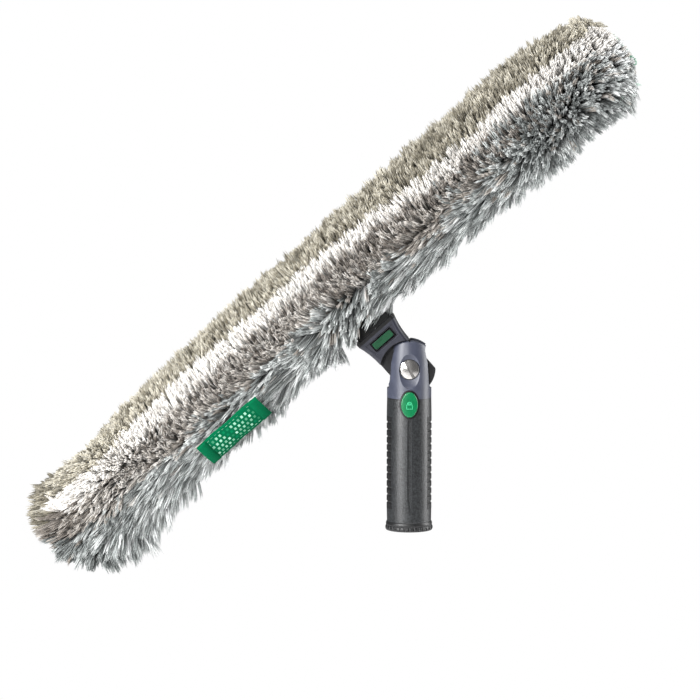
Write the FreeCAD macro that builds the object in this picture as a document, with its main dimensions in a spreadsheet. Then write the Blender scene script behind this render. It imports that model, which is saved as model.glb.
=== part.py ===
import FreeCAD, Part
import math
import os

import Sketcher

# Window scrubber: a fibre sleeve on a T-bar, carried by a swivelling neck on a pole handle.
# The origin is the middle of the pole socket's mouth, +Z runs up the handle, the swivel bolt lies
# along Y with its head to the front (-Y), and the bar is built straight and then tilted.

# Driving dimensions: millimetres, degrees and counts
SIZES = (
    ("overrun", "4", "how far a cut runs past the solid"),
    ("fit_gap", "0.05", "gap between pieces that sit in one another"),
    ("slide_gap", "0.15", "gap beside a piece that slides"),
    ("soft_gap", "0.3", "gap beside a soft piece"),
    ("pole_bore_radius", "10.5", "straight bore at the foot of the pole socket"),
    ("pole_bore_length", "32", "length of the straight bore"),
    ("pole_taper_length", "37", "length of the taper above the straight bore"),
    ("pole_tip_radius", "8", "bore at the top of the taper"),
    ("pole_tip_length", "8.5", "length of the bore above the taper"),
    ("tube_wall", "1.7", "wall of the socket tube at its mouth"),
    ("tube_head", "6.1", "solid head of the socket tube"),
    ("grip_wall", "1.75", "wall of the grip at the seam below the fork"),
    ("grip_belly", "0.4", "swell of the grip at half height"),
    ("grip_groove_width", "2.6", "groove down the front of the grip"),
    ("grip_groove_depth", "0.8", "depth of that groove"),
    ("grip_groove_foot", "6", "height of the groove's point above the ring"),
    ("grip_groove_point", "9", "length of the groove's pointed end"),
    ("grip_groove_top", "11.6", "distance from the groove's top to the seam"),
    ("pad_foot", "8", "height of the side pads above the ring"),
    ("pad_length", "59", "length of the side pads"),
    ("pad_seat", "0.95", "depth of the side pads' seats in the grip"),
    ("pad_proud", "0.2", "how far the side pads stand out of the grip"),
    ("pad_angle", "76", "angle that a side pad covers"),
    ("pad_angle_gap", "1", "angle left free beside a side pad"),
    ("pad_rib_count", "12", "grooves across a side pad"),
    ("pad_rib_pitch", "4.6", "distance between those grooves"),
    ("pad_rib_radius", "1.1", "radius of those grooves"),
    ("pad_rib_depth", "0.5", "depth of those grooves"),
    ("ring_foot_height", "3.2", "lower bead of the foot ring"),
    ("ring_neck_height", "2.6", "upper bead of the foot ring"),
    ("ring_flare", "0.85", "how far the foot ring stands out of the grip"),
    ("ring_step", "0.4", "step between the two beads"),
    ("ring_bead_radius", "2.4", "roundness of the beads"),
    ("ring_notch_count", "32", "finger notches round the foot ring"),
    ("ring_notch_radius", "0.9", "radius of those notches"),
    ("ring_notch_depth", "0.3", "depth of those notches"),
    ("button_drop", "2.6", "distance of the button's centre below the seam"),
    ("button_half_width", "5.3", "half the button's width"),
    ("button_half_height", "8", "half the button's height"),
    ("button_end_radius", "4", "end radius of the button's oval"),
    ("button_thickness", "2.3", "thickness of the button's cap"),
    ("button_proud", "0.7", "how far the button stands out of the handle"),
    ("button_crown_radius", "19", "crown of the button's face"),
    ("button_edge_radius", "0.7", "rounding of the button's edge"),
    ("button_travel", "1.8", "stroke of the button"),
    ("bezel_width", "1", "width of the button's surround"),
    ("bezel_proud", "0.25", "how far the surround stands out of the handle"),
    ("well_spare", "0.4", "room left behind the pressed button"),
    ("latch_thickness", "2", "thickness of the latch ring"),
    ("latch_bore_gap", "0.25", "latch ring's hole, over the bore at the pole's tip"),
    ("latch_rim", "1.85", "width of the latch ring"),
    ("latch_drop", "5.6", "height of the latch ring's middle below the button's centre"),
    ("latch_tab_width", "5", "width of the latch ring's tab"),
    ("latch_tab_grip", "0.8", "how far the tab reaches into the button"),
    ("spring_lift", "4.4", "height of the leaf spring above the button's centre"),
    ("spring_span", "6.4", "span of the leaf spring"),
    ("spring_width", "3", "width of the leaf spring"),
    ("spring_thickness", "0.4", "thickness of the leaf spring"),
    ("spring_pocket_depth", "1.3", "depth of the spring's pocket"),
    ("slot_floor", "2", "floor of the fork below the tongue"),
    ("slot_gap", "0.9", "room below the tongue's end"),
    ("ledge_gap", "0.5", "room under the tongue's side at the end of the swivel"),
    ("dome_rise", "1.5", "how far the cheeks' tops reach past the tongue's end"),
    ("cheek_taper", "2.4", "how far the cheeks lean in towards their tops"),
    ("cheek_web", "3.2", "cheek left under the bolt's head and the nut"),
    ("cheek_waist_radius", "9", "hollow below the cheeks' tops"),
    ("cheek_shoulder_radius", "10", "hollow above the fork's shoulders"),
    ("cheek_edge_radius", "1.4", "rounding of the cheeks' tops"),
    ("dish_width", "8.3", "half width of the hollow round the bolt"),
    ("dish_height", "11.4", "half height of that hollow"),
    ("dish_depth", "3", "half depth of that hollow"),
    ("dish_rise", "0.3", "distance from that hollow's middle to the handle's face"),
    ("dish_drop", "0.7", "distance of that hollow's middle below the bolt"),
    ("index_half_width", "1.1", "half the width of the index notch on the cheeks' tops"),
    ("index_depth", "0.9", "depth of the index notch"),
    ("core_screw_radius", "1.6", "shank of the screw between fork and tube"),
    ("core_screw_head", "3.1", "head radius of that screw"),
    ("core_screw_cone", "1.5", "height of that screw's countersunk head"),
    ("core_screw_sink", "0.15", "how far that screw's head lies below the fork's floor"),
    ("core_screw_bite", "4.4", "length of that screw in the tube"),
    ("bolt_radius", "4", "shank of the swivel bolt"),
    ("bolt_head_radius", "6.1", "head of the swivel bolt"),
    ("bolt_head_edge", "1.6", "height of the bolt head's edge"),
    ("bolt_head_dome", "1", "height of the bolt head's dome"),
    ("bolt_slot_width", "2", "width of the bolt's coin slot"),
    ("bolt_slot_depth", "1.3", "depth of the bolt's coin slot"),
    ("bolt_slot_turn", "27", "turn of the coin slot from upright, top to the left"),
    ("bolt_run_gap", "0.05", "gap between the bolt and what turns on it"),
    ("head_well_gap", "0.5", "gap round the bolt's head"),
    ("cone_washer_height", "0.9", "height of the conical spring washer"),
    ("cone_washer_wall", "0.5", "thickness of that washer"),
    ("nut_half_width", "6.5", "half the distance across the nut's flats"),
    ("nut_height", "4.6", "height of the nut"),
    ("nut_chamfer", "0.6", "chamfer of the nut's corners"),
    ("bolt_tail", "0.6", "how far the bolt reaches past the nut"),
    ("friction_radius", "9.5", "radius of the friction washers"),
    ("friction_thickness", "0.6", "thickness of the friction washers"),
    ("tongue_thickness", "9.4", "thickness of the neck's tongue"),
    ("tongue_half_width", "12", "half the width of the neck's tongue"),
    ("tongue_reach", "16.5", "radius of the tongue's end about the bolt"),
    ("bush_wall", "2", "wall of the bush in the tongue"),
    ("neck_gap", "0.5", "room between the neck and the cheeks' tops"),
    ("neck_height", "31", "distance from the bolt to the top of the neck"),
    ("neck_half_width", "14.8", "half the width of the neck's top"),
    ("neck_depth", "24", "depth of the neck, front to back"),
    ("neck_edge_radius", "2.2", "rounding of the neck's corners"),
    ("neck_panel_edge", "1.7", "rim round the sunk panel on the neck's front"),
    ("neck_panel_depth", "0.7", "depth of that panel"),
    ("neck_panel_drop", "4.4", "length of that panel below the badge's middle"),
    ("badge_length", "14.5", "length of the plate on the neck"),
    ("badge_height", "4.2", "height of that plate"),
    ("badge_thickness", "1.1", "thickness of that plate"),
    ("badge_corner_radius", "1", "corner radius of that plate"),
    ("badge_drop", "5.6", "distance of that plate's middle below the neck's top"),
    ("tenon_half_width", "8.5", "half the width of the bar's tenon in the neck"),
    ("tenon_half_depth", "5", "half the depth of the tenon"),
    ("tenon_length", "10", "length of the tenon"),
    ("tenon_floor_gap", "0.5", "room under the tenon"),
    ("flange_height", "2.2", "flange of the bar's stem on the neck"),
    ("stem_length", "19.5", "distance from the neck's top to the bar"),
    ("stem_half_width", "12.5", "half the width of the bar's stem"),
    ("stem_half_depth", "7.5", "half the depth of the bar's stem"),
    ("stem_root_radius", "7", "fillet between the stem and the bar"),
    ("bar_length", "440", "length of the bar"),
    ("bar_width", "37", "width of the bar"),
    ("bar_thickness", "22", "thickness of the bar"),
    ("bar_window_pitch", "31", "distance between the windows"),
    ("bar_window_length", "23", "length of a window"),
    ("bar_window_height", "19", "height of a window"),
    ("bar_window_radius", "7", "corner radius of a window"),
    ("bar_window_start", "38", "distance of the first window from the middle of the bar"),
    ("bar_window_margin", "12", "least length of whole bar past the last window"),
    ("bar_end_radius", "5", "rounding of the bar's ends"),
    ("neck_screw_radius", "1.4", "shank of the neck's screws"),
    ("neck_screw_head", "2.6", "head radius of the neck's screws"),
    ("neck_screw_cap", "1.8", "head height of the neck's screws"),
    ("neck_screw_seat", "2.6", "depth of the screws' seats"),
    ("neck_screw_offset", "5", "distance of the screws from the neck's middle"),
    ("neck_screw_drop", "5", "distance of the screws below the neck's top"),
    ("neck_screw_bite", "6", "length of the screws in the tenon"),
    ("sleeve_wall", "14.6", "thickness of the sleeve, backing and pile"),
    ("sleeve_room", "0.5", "room between the bar and the sleeve"),
    ("sleeve_right_end", "12.5", "sleeve past the bar's end at the closed end"),
    ("sleeve_left_end", "19.5", "sleeve past the bar's end at the open end"),
    ("sleeve_end_radius", "20", "rounding of the sleeve's ends"),
    ("sleeve_sag", "7", "how far the sleeve's ends hang down"),
    ("sleeve_sag_left", "130", "distance from the bar's middle to where the left end starts to hang"),
    ("sleeve_sag_right", "150", "distance from the bar's middle to where the right end starts to hang"),
    ("scrub_pad_width", "26", "width of the scrub pad"),
    ("scrub_pad_thickness", "5", "thickness of the scrub pad"),
    ("scrub_pad_depth", "18", "depth of the scrub pad, front to back"),
    ("tape_width", "24", "width of the closure tapes"),
    ("tape_length", "16", "length of the closure tapes"),
    ("tape_thickness", "1.2", "thickness of the closure tapes"),
    ("label_length", "48", "length of the label"),
    ("label_width", "20", "width of the label"),
    ("label_thickness", "0.9", "thickness of the label"),
    ("label_offset", "107", "distance of the label's middle left of the neck"),
    ("label_lean", "39", "angle round the sleeve's lower front at which the label lies"),
    ("head_tilt", "41.5", "tilt of the bar, left end low"),
)

# Outline points of the fork, as shares of the handle's radius and of the cheeks' dome
CHEEK_BASE_SHARE = 0.985
CHEEK_SHOULDER_SHARES = (0.87, -0.46)
CHEEK_SIDE_SHARES = (0.82, 0.2)
CHEEK_WAIST_SHARES = (0.735, 0.5)
CHEEK_LIP_SHARE = 0.74

# Sections of the sleeve's hanging ends, as shares of the end's length and of the sag
SLEEVE_SAG_SHARES = ((0.0, 0.0), (0.22, 0.1), (0.4, 0.42), (0.58, 0.84), (0.73, 1.0), (1.0, 1.0))

LEFT = 1
RIGHT = -1
FRONT = "XZ_Plane"
SIDE = "YZ_Plane"
TOP = "XY_Plane"
HEX_SIDES = 6
FULL_TURN = 360.0
QUARTER_TURN = 90.0


class Size:
    """A length, angle or count that keeps its formula, so that features are bound to the sheet."""

    def __init__(self, value, formula):
        self.value = value
        self.formula = formula

    def joined(self, sign, other, value):
        return Size(value, f"({self.formula} {sign} {other.formula})")

    def __add__(self, other):
        other = as_size(other)
        return self.joined("+", other, self.value + other.value)

    def __sub__(self, other):
        other = as_size(other)
        return self.joined("-", other, self.value - other.value)

    def __mul__(self, other):
        other = as_size(other)
        return self.joined("*", other, self.value * other.value)

    def __truediv__(self, other):
        other = as_size(other)
        return self.joined("/", other, self.value / other.value)

    def __neg__(self):
        return self * -1


def as_size(number):
    """Return the number as a Size."""
    return number if isinstance(number, Size) else Size(number, f"({number})")


def root(size):
    """Return the square root of a Size."""
    return Size(math.sqrt(size.value), f"sqrt({size.formula})")


def whole(size):
    """Return the whole part of a Size."""
    return Size(math.floor(size.value), f"floor({size.formula})")


def cathetus(long_side, side):
    """Return the third side of a right-angled triangle."""
    return root(long_side * long_side - side * side)


ZERO = Size(0, "0")

doc = FreeCAD.newDocument("window_scrubber")
sheet = doc.addObject("Spreadsheet::Sheet", "Sizes")
for row, (alias, text, meaning) in enumerate(SIZES, start=1):
    sheet.set(f"A{row}", text)
    sheet.setAlias(f"A{row}", alias)
    sheet.set(f"B{row}", meaning)
doc.recompute()


class Dimensions:
    """The sheet's sizes, and the ones that follow from them."""

    def __getattr__(self, alias):
        return Size(float(getattr(sheet, alias)), f"Sizes.{alias}")


d = Dimensions()
d.tube_radius = d.pole_bore_radius + d.tube_wall
d.taper_top = d.pole_bore_length + d.pole_taper_length
d.tip_top = d.taper_top + d.pole_tip_length
d.seam = d.tip_top + d.tube_head
d.grip_bore = d.tube_radius + d.fit_gap
d.handle_radius = d.grip_bore + d.grip_wall
d.ring_height = d.ring_foot_height + d.ring_neck_height
d.slot_radius = d.tongue_reach + d.slot_gap
d.dome_radius = d.tongue_reach + d.dome_rise
d.neck_arc_radius = d.dome_radius + d.neck_gap
d.flank_foot = cathetus(d.neck_arc_radius, d.tongue_half_width)
d.flank_height = d.neck_height - d.flank_foot
d.flank_depth = d.neck_half_width - d.tongue_half_width
d.flank_radius = (d.flank_height * d.flank_height + d.flank_depth * d.flank_depth) / (d.flank_depth * 2)
d.pivot = d.seam + d.slot_floor + d.slot_radius
d.ledge = d.pivot - d.tongue_half_width - d.ledge_gap
d.fork_top = d.pivot + d.dome_radius
d.slot_half = d.tongue_thickness / 2 + d.bolt_run_gap + d.friction_thickness
d.clear_radius = d.handle_radius + d.overrun
d.button_height = d.seam - d.button_drop
d.button_back = d.handle_radius + d.button_proud - d.button_thickness
d.well_floor = d.button_back - d.button_travel - d.well_spare
d.bezel_inner_gap = d.slide_gap
d.bezel_outer_gap = d.bezel_inner_gap + d.bezel_width
d.well_gap = d.bezel_outer_gap + d.fit_gap
d.latch_bore = d.pole_tip_radius + d.latch_bore_gap
d.latch_radius = d.latch_bore + d.latch_rim
d.bezel_back = d.latch_radius + d.button_travel + d.slide_gap
d.latch_foot = d.button_height - d.latch_drop - d.latch_thickness / 2
d.seat_plane = d.slot_half + d.cheek_web
d.bush_radius = d.bolt_radius + d.bolt_run_gap + d.bush_wall
d.tenon_well = d.tenon_length + d.tenon_floor_gap
d.bar_foot = d.neck_height + d.stem_length
d.bar_middle = d.bar_foot + d.bar_width / 2
d.sleeve_half_depth = d.bar_thickness / 2 + d.sleeve_room + d.sleeve_wall
d.sleeve_half_width = d.bar_width / 2 + d.sleeve_room + d.sleeve_wall
d.cavity_half = d.bar_length / 2 + d.sleeve_room
d.sleeve_left = d.cavity_half + d.sleeve_left_end
d.sleeve_right = d.cavity_half + d.sleeve_right_end
d.end_middle = d.bar_middle - d.sleeve_sag

pieces = []


def bind(target, property_name, size):
    """Tie a feature's size to the sheet."""
    target.setExpression(property_name, size.formula)


def keep(piece, label):
    """Name a finished sub-part."""
    piece.Label = label
    pieces.append(piece)
    return piece


def new_body(label):
    """Start a body that is kept as a sub-part."""
    return keep(doc.addObject("PartDesign::Body", label), label)


def plane_of(body, role):
    """Return one of the body's own origin planes."""
    return next(plane for plane in body.Origin.OriginFeatures if plane.Role == role)


def new_sketch(body, role, offset=ZERO):
    """Start a sketch on an origin plane, or in front of it by an offset along its normal."""
    sketch = body.newObject("Sketcher::SketchObject", f"{body.Name}_sketch")
    sketch.AttachmentSupport = [(plane_of(body, role), "")]
    sketch.MapMode = "FlatFace"
    bind(sketch, "AttachmentOffset.Base.z", offset)
    return sketch


def place_point(sketch, geometry, position, x, y):
    """Fix a point of the sketch at sheet sizes from its origin."""
    for name, axis, size in (("DistanceX", -2, x), ("DistanceY", -1, y)):
        if size is ZERO:
            sketch.addConstraint(Sketcher.Constraint("PointOnObject", geometry, position, axis))
            continue
        constraint = Sketcher.Constraint(name, -1, 1, geometry, position, size.value)
        index = sketch.addConstraint(constraint)
        bind(sketch, f"Constraints[{index}]", size)


def set_radius(sketch, geometry, radius):
    """Fix the radius of an arc or circle."""
    index = sketch.addConstraint(Sketcher.Constraint("Radius", geometry, radius.value))
    bind(sketch, f"Constraints[{index}]", radius)


def arc_between(start, end, radius, turn):
    """Return the lesser arc from start to end, turning left or right."""
    chord = end - start
    height = math.sqrt(max(radius * radius - chord.Length ** 2 / 4, 0.0))
    side = FreeCAD.Vector(-chord.y, chord.x, 0).normalize()
    centre = (start + end) * 0.5 + side * (height * turn)
    first, last = (start, end) if turn == LEFT else (end, start)
    angles = [math.atan2(point.y - centre.y, point.x - centre.x) for point in (first, last)]
    return Part.ArcOfCircle(Part.Circle(centre, FreeCAD.Vector(0, 0, 1), radius), *angles)


def draw_outline(sketch, corners):
    """Draw a closed outline. A corner is (x, y), or (x, y, radius, turn) at the end of an arc."""
    points = [FreeCAD.Vector(corner[0].value, corner[1].value, 0) for corner in corners]
    first = sketch.GeometryCount
    ends = []
    for index, corner in enumerate(corners):
        start, end = points[index - 1], points[index]
        if len(corner) == 2:
            sketch.addGeometry(Part.LineSegment(start, end), False)
            ends.append((1, 2))
        else:
            radius, turn = corner[2:]
            sketch.addGeometry(arc_between(start, end, radius.value, turn), False)
            ends.append((1, 2) if turn == LEFT else (2, 1))
    for index, corner in enumerate(corners):
        following = (index + 1) % len(corners)
        join = (first + index, ends[index][1], first + following, ends[following][0])
        sketch.addConstraint(Sketcher.Constraint("Coincident", *join))
        place_point(sketch, first + index, ends[index][1], corner[0], corner[1])
        if len(corner) > 2:
            set_radius(sketch, first + index, corner[2])


def draw_circle(sketch, x, y, radius):
    """Draw a circle."""
    centre = FreeCAD.Vector(x.value, y.value, 0)
    index = sketch.GeometryCount
    sketch.addGeometry(Part.Circle(centre, FreeCAD.Vector(0, 0, 1), radius.value), False)
    place_point(sketch, index, 3, x, y)
    set_radius(sketch, index, radius)


def box_corners(left, right, low, high):
    """Return the corners of an upright rectangle."""
    return [(left, low), (right, low), (right, high), (left, high)]


def round_box(x, y, half_width, half_height, radius):
    """Return the outline of a rectangle with round corners about the point x, y."""
    left, right = x - half_width, x + half_width
    low, high = y - half_height, y + half_height
    return [
        (right - radius, low), (right, low + radius, radius, LEFT),
        (right, high - radius), (right - radius, high, radius, LEFT),
        (left + radius, high), (left, high - radius, radius, LEFT),
        (left, low + radius), (left + radius, low, radius, LEFT),
    ]


def stadium(y, half_thickness, half_width):
    """Return the section of a bar with round edges, thin in x and wide in y."""
    low, high = y - half_width + half_thickness, y + half_width - half_thickness
    return [
        (half_thickness, high), (ZERO, y + half_width, half_thickness, LEFT),
        (-half_thickness, high, half_thickness, LEFT),
        (-half_thickness, low), (ZERO, y - half_width, half_thickness, LEFT),
        (half_thickness, low, half_thickness, LEFT),
    ]


def button_oval(growth):
    """Return the button's oval of four arcs, grown all round, about the button's centre."""
    wide = d.button_half_width + growth
    tall = d.button_half_height + growth
    end = d.button_end_radius + growth
    flank = (tall * tall + wide * wide - tall * end * 2) / ((wide - end) * 2)
    reach = end / (flank - end)
    x = (flank - wide) * reach
    rise = (tall - end) * (reach + 1)
    low, high = d.button_height - rise, d.button_height + rise
    return [
        (x, high, flank, LEFT), (-x, high, end, LEFT),
        (-x, low, flank, LEFT), (x, low, end, LEFT),
    ]


def add_feature(body, kind, sketch):
    """Add a feature that works on a sketch."""
    feature = body.newObject(f"PartDesign::{kind}", f"{body.Name}_{kind.lower()}")
    feature.Profile = sketch
    return feature


def pad(body, sketch, length, both_ways=True, reverse=False):
    """Add a plate or prism."""
    feature = add_feature(body, "Pad", sketch)
    feature.SideType = "Symmetric" if both_ways else "One side"
    feature.Reversed = reverse
    bind(feature, "Length", length)
    return feature


def loft(body, sections):
    """Add a solid that runs straight from section to section."""
    feature = add_feature(body, "AdditiveLoft", sections[0])
    feature.Sections = sections[1:]
    feature.Ruled = True
    return feature


def check_cut(body, feature, before):
    """Make sure that a cut has taken material away."""
    doc.recompute()
    if not feature.Shape.Volume < before:
        raise RuntimeError(f"{feature.Name} cuts nothing from {body.Label}")
    return feature


def pocket(body, sketch, length, both_ways=True, outward=False):
    """Cut a prism away: both ways, or one way against or along the sketch's normal."""
    doc.recompute()
    before = body.Shape.Volume
    feature = add_feature(body, "Pocket", sketch)
    feature.SideType = "Symmetric" if both_ways else "One side"
    feature.Reversed = outward
    bind(feature, "Length", length)
    return check_cut(body, feature, before)


def revolve(body, sketch, angle=None):
    """Turn a sketch about its upright axis, all round or over an angle."""
    feature = add_feature(body, "Revolution", sketch)
    feature.ReferenceAxis = (sketch, ["V_Axis"])
    feature.Angle = FULL_TURN
    if angle:
        feature.Midplane = True
        bind(feature, "Angle", angle)
    return feature


def groove(body, sketch, angle=None):
    """Cut a ring away about the sketch's upright axis, all round or over an angle."""
    doc.recompute()
    before = body.Shape.Volume
    feature = add_feature(body, "Groove", sketch)
    feature.ReferenceAxis = (sketch, ["V_Axis"])
    feature.Angle = FULL_TURN
    if angle:
        feature.Midplane = True
        bind(feature, "Angle", angle)
    return check_cut(body, feature, before)


def repeat(body, feature, sketch, axis, pitch, count):
    """Repeat a feature in a row along an axis of its sketch."""
    pattern = body.newObject("PartDesign::LinearPattern", f"{body.Name}_row")
    pattern.Originals = [feature]
    pattern.Direction = (sketch, [axis])
    bind(pattern, "Length", pitch * (count - 1))
    bind(pattern, "Occurrences", count)
    body.Tip = pattern
    return pattern


def mirror(body, feature, role):
    """Repeat a feature on the other side of an origin plane."""
    copy = body.newObject("PartDesign::Mirrored", f"{body.Name}_mirror")
    copy.Originals = [feature]
    copy.MirrorPlane = (plane_of(body, role), [""])
    body.Tip = copy
    return copy


def round_edges(body, radius, wanted):
    """Round the edges of the body that the test picks."""
    doc.recompute()
    base = body.Tip
    names = [f"Edge{i}" for i, edge in enumerate(base.Shape.Edges, start=1) if wanted(edge)]
    if not names:
        raise RuntimeError(f"{body.Label} has no such edge to round")
    feature = body.newObject("PartDesign::Fillet", f"{body.Name}_fillet")
    feature.Base = (base, names)
    bind(feature, "Radius", radius)
    return feature


def is_near(value, size):
    """Tell whether a measured value equals a size."""
    return abs(value - size.value) < d.fit_gap.value


def turned_body(label, corners):
    """Make a body by turning an outline of radii and heights about the upright axis."""
    body = new_body(label)
    sketch = new_sketch(body, FRONT)
    draw_outline(sketch, corners)
    revolve(body, sketch)
    return body


def turned_ring(label, inner, outer, low, high):
    """Make a plain ring about the upright axis."""
    return turned_body(label, box_corners(inner, outer, low, high))


def vector(x, y, z):
    """Return a point at sheet sizes."""
    return FreeCAD.Vector(x.value, y.value, z.value)


def turn(axis, degrees):
    """Return a rotation about an axis."""
    return FreeCAD.Rotation(axis, degrees)


X_AXIS = FreeCAD.Vector(1, 0, 0)
Y_AXIS = FreeCAD.Vector(0, 1, 0)
Z_AXIS = FreeCAD.Vector(0, 0, 1)
TO_BACK = turn(X_AXIS, -QUARTER_TURN)
TO_FRONT = turn(X_AXIS, QUARTER_TURN)
UPRIGHT = FreeCAD.Rotation()
HEAD = FreeCAD.Placement(vector(ZERO, ZERO, d.pivot), turn(Y_AXIS, -d.head_tilt.value))


def stand(piece, x, y, z, rotation=UPRIGHT):
    """Set a piece of the handle in place."""
    piece.Placement = FreeCAD.Placement(vector(x, y, z), rotation)


def hang(piece, x, y, z, rotation=UPRIGHT):
    """Set a piece of the washer head in place, measured from the bolt with the bar straight."""
    piece.Placement = HEAD.multiply(FreeCAD.Placement(vector(x, y, z), rotation))


# Handle: tube, fork, grip and foot ring

def cut_button_well(body):
    """Cut the oval well of the push button from the front."""
    sketch = new_sketch(body, FRONT, d.well_floor)
    draw_outline(sketch, button_oval(d.well_gap))
    pocket(body, sketch, d.clear_radius, both_ways=False, outward=True)


def make_socket_tube():
    """Make the tube that takes the pole's cone, open at the foot, with the latch's channel."""
    body = turned_body("pole_socket_tube", [
        (d.pole_bore_radius, ZERO), (d.tube_radius, ZERO), (d.tube_radius, d.seam),
        (ZERO, d.seam), (ZERO, d.tip_top),
        (d.pole_tip_radius, d.tip_top), (d.pole_tip_radius, d.taper_top),
        (d.pole_bore_radius, d.pole_bore_length),
    ])
    cut_button_well(body)
    channel = new_sketch(body, TOP, d.latch_foot - d.slide_gap)
    wide = d.latch_radius + d.slide_gap
    draw_outline(channel, [
        (-wide, -d.clear_radius), (wide, -d.clear_radius), (wide, ZERO),
        (ZERO, wide, wide, LEFT), (-wide, ZERO, wide, LEFT),
    ])
    height = d.latch_thickness + d.slide_gap * 2
    pocket(body, channel, height, both_ways=False, outward=True)
    thread = new_sketch(body, TOP, d.seam)
    draw_circle(thread, ZERO, ZERO, d.core_screw_radius + d.fit_gap)
    pocket(body, thread, d.core_screw_bite + d.fit_gap, both_ways=False)


def cheek_side(sign):
    """Return the outline of what is cut from one side of the fork's cheeks."""
    def point(shares):
        return (d.handle_radius * (shares[0] * sign), d.pivot + d.dome_radius * shares[1])

    lip = d.handle_radius * CHEEK_LIP_SHARE
    lip_x = d.handle_radius * (CHEEK_LIP_SHARE * sign)
    base_x = d.handle_radius * (CHEEK_BASE_SHARE * sign)
    side_x = d.clear_radius * sign
    ceiling = d.fork_top + d.overrun
    hollow, bulge = (RIGHT, LEFT) if sign > 0 else (LEFT, RIGHT)
    return [
        (ZERO, d.fork_top),
        (lip_x, d.pivot + cathetus(d.dome_radius, lip), d.dome_radius, hollow),
        (*point(CHEEK_WAIST_SHARES), d.cheek_waist_radius, bulge),
        point(CHEEK_SIDE_SHARES),
        point(CHEEK_SHOULDER_SHARES),
        (base_x, d.ledge, d.cheek_shoulder_radius, bulge),
        (side_x, d.ledge), (side_x, ceiling), (ZERO, ceiling),
    ]


def make_fork():
    """Make the fork: a round shoulder and two leaning cheeks with a slot for the tongue."""
    lean = (d.cheek_taper * d.cheek_taper + d.dome_radius * d.dome_radius) / (d.cheek_taper * 2)
    body = turned_body("handle_yoke", [
        (ZERO, d.seam), (d.handle_radius, d.seam), (d.handle_radius, d.pivot),
        (d.handle_radius - d.cheek_taper, d.fork_top, lean, LEFT), (ZERO, d.fork_top),
    ])
    sides = new_sketch(body, FRONT)
    for sign in (1, -1):
        draw_outline(sides, cheek_side(sign))
    pocket(body, sides, d.clear_radius * 2)
    round_edges(body, d.cheek_edge_radius, is_dome_edge)

    dish = body.newObject("PartDesign::SubtractiveEllipsoid", "fork_dish")
    dish.AttachmentSupport = [(plane_of(body, TOP), "")]
    dish.MapMode = "FlatFace"
    bind(dish, "Radius1", d.dish_height)
    bind(dish, "Radius2", d.dish_width)
    bind(dish, "Radius3", d.dish_depth)
    bind(dish, "AttachmentOffset.Base.y", -(d.handle_radius + d.dish_rise))
    bind(dish, "AttachmentOffset.Base.z", d.pivot - d.dish_drop)

    slot = new_sketch(body, FRONT)
    ceiling = d.fork_top + d.overrun
    floor_half = cathetus(d.slot_radius, d.pivot - d.ledge)
    draw_outline(slot, [
        (-d.clear_radius, d.ledge), (-floor_half, d.ledge),
        (ZERO, d.pivot - d.slot_radius, d.slot_radius, LEFT),
        (floor_half, d.ledge, d.slot_radius, LEFT),
        (d.clear_radius, d.ledge), (d.clear_radius, ceiling), (-d.clear_radius, ceiling),
    ])
    pocket(body, slot, d.slot_half * 2)

    index = new_sketch(body, FRONT)
    draw_outline(index, [
        (ZERO, d.fork_top - d.index_depth), (d.index_half_width, d.fork_top),
        (d.index_half_width, ceiling), (-d.index_half_width, ceiling),
        (-d.index_half_width, d.fork_top),
    ])
    pocket(body, index, d.clear_radius * 2)
    bore = new_sketch(body, FRONT)
    draw_circle(bore, ZERO, d.pivot, d.bolt_radius + d.bolt_run_gap)
    pocket(body, bore, d.clear_radius * 2)
    head_well = new_sketch(body, FRONT, d.seat_plane)
    draw_circle(head_well, ZERO, d.pivot, d.bolt_head_radius + d.head_well_gap)
    pocket(body, head_well, d.clear_radius, both_ways=False, outward=True)
    nut_well = new_sketch(body, FRONT, -d.seat_plane)
    draw_outline(nut_well, hexagon(d.pivot, d.nut_half_width + d.fit_gap))
    pocket(body, nut_well, d.clear_radius, both_ways=False)

    cut_button_well(body)
    spring_bed = new_sketch(body, FRONT, d.well_floor - d.spring_pocket_depth)
    half_span = d.spring_span / 2 + d.slide_gap
    half_width = d.spring_width / 2 + d.slide_gap
    middle = d.button_height + d.spring_lift
    draw_outline(spring_bed, box_corners(
        -half_span, half_span, middle - half_width, middle + half_width))
    pocket(body, spring_bed, d.clear_radius, both_ways=False, outward=True)

    sink = new_sketch(body, FRONT)
    screw_top = d.seam + d.slot_floor - d.core_screw_sink
    draw_outline(sink, [
        (ZERO, d.seam - d.overrun),
        (d.core_screw_radius + d.fit_gap, d.seam - d.overrun),
        (d.core_screw_radius + d.fit_gap, screw_top - d.core_screw_cone),
        (d.core_screw_head + d.fit_gap, screw_top),
        (d.core_screw_head + d.fit_gap, screw_top + d.overrun), (ZERO, screw_top + d.overrun),
    ])
    groove(body, sink)


def is_dome_edge(edge):
    """Tell whether an edge runs over the top of a cheek."""
    middle = edge.valueAt((edge.FirstParameter + edge.LastParameter) / 2)
    return is_near(edge.BoundBox.ZMax, d.fork_top) and abs(middle.y) > d.slot_half.value


def hexagon(y, half_width):
    """Return a hexagon with upright flats about a point on the sketch's upright axis."""
    corner = half_width / math.cos(math.pi / HEX_SIDES)
    points = []
    for index in range(HEX_SIDES):
        angle = math.pi / HEX_SIDES * (2 * index + 1)
        x_share = round(math.cos(angle), 9)
        y_share = round(math.sin(angle), 9)
        points.append((corner * x_share if x_share else ZERO, y + corner * y_share))
    return points


def make_core_screw():
    """Make the countersunk screw between the fork and the tube."""
    top = d.slot_floor - d.core_screw_sink
    body = turned_body("core_screw", [
        (ZERO, -d.core_screw_bite), (d.core_screw_radius, -d.core_screw_bite),
        (d.core_screw_radius, top - d.core_screw_cone), (d.core_screw_head, top), (ZERO, top),
    ])
    stand(body, ZERO, ZERO, d.seam)


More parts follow.
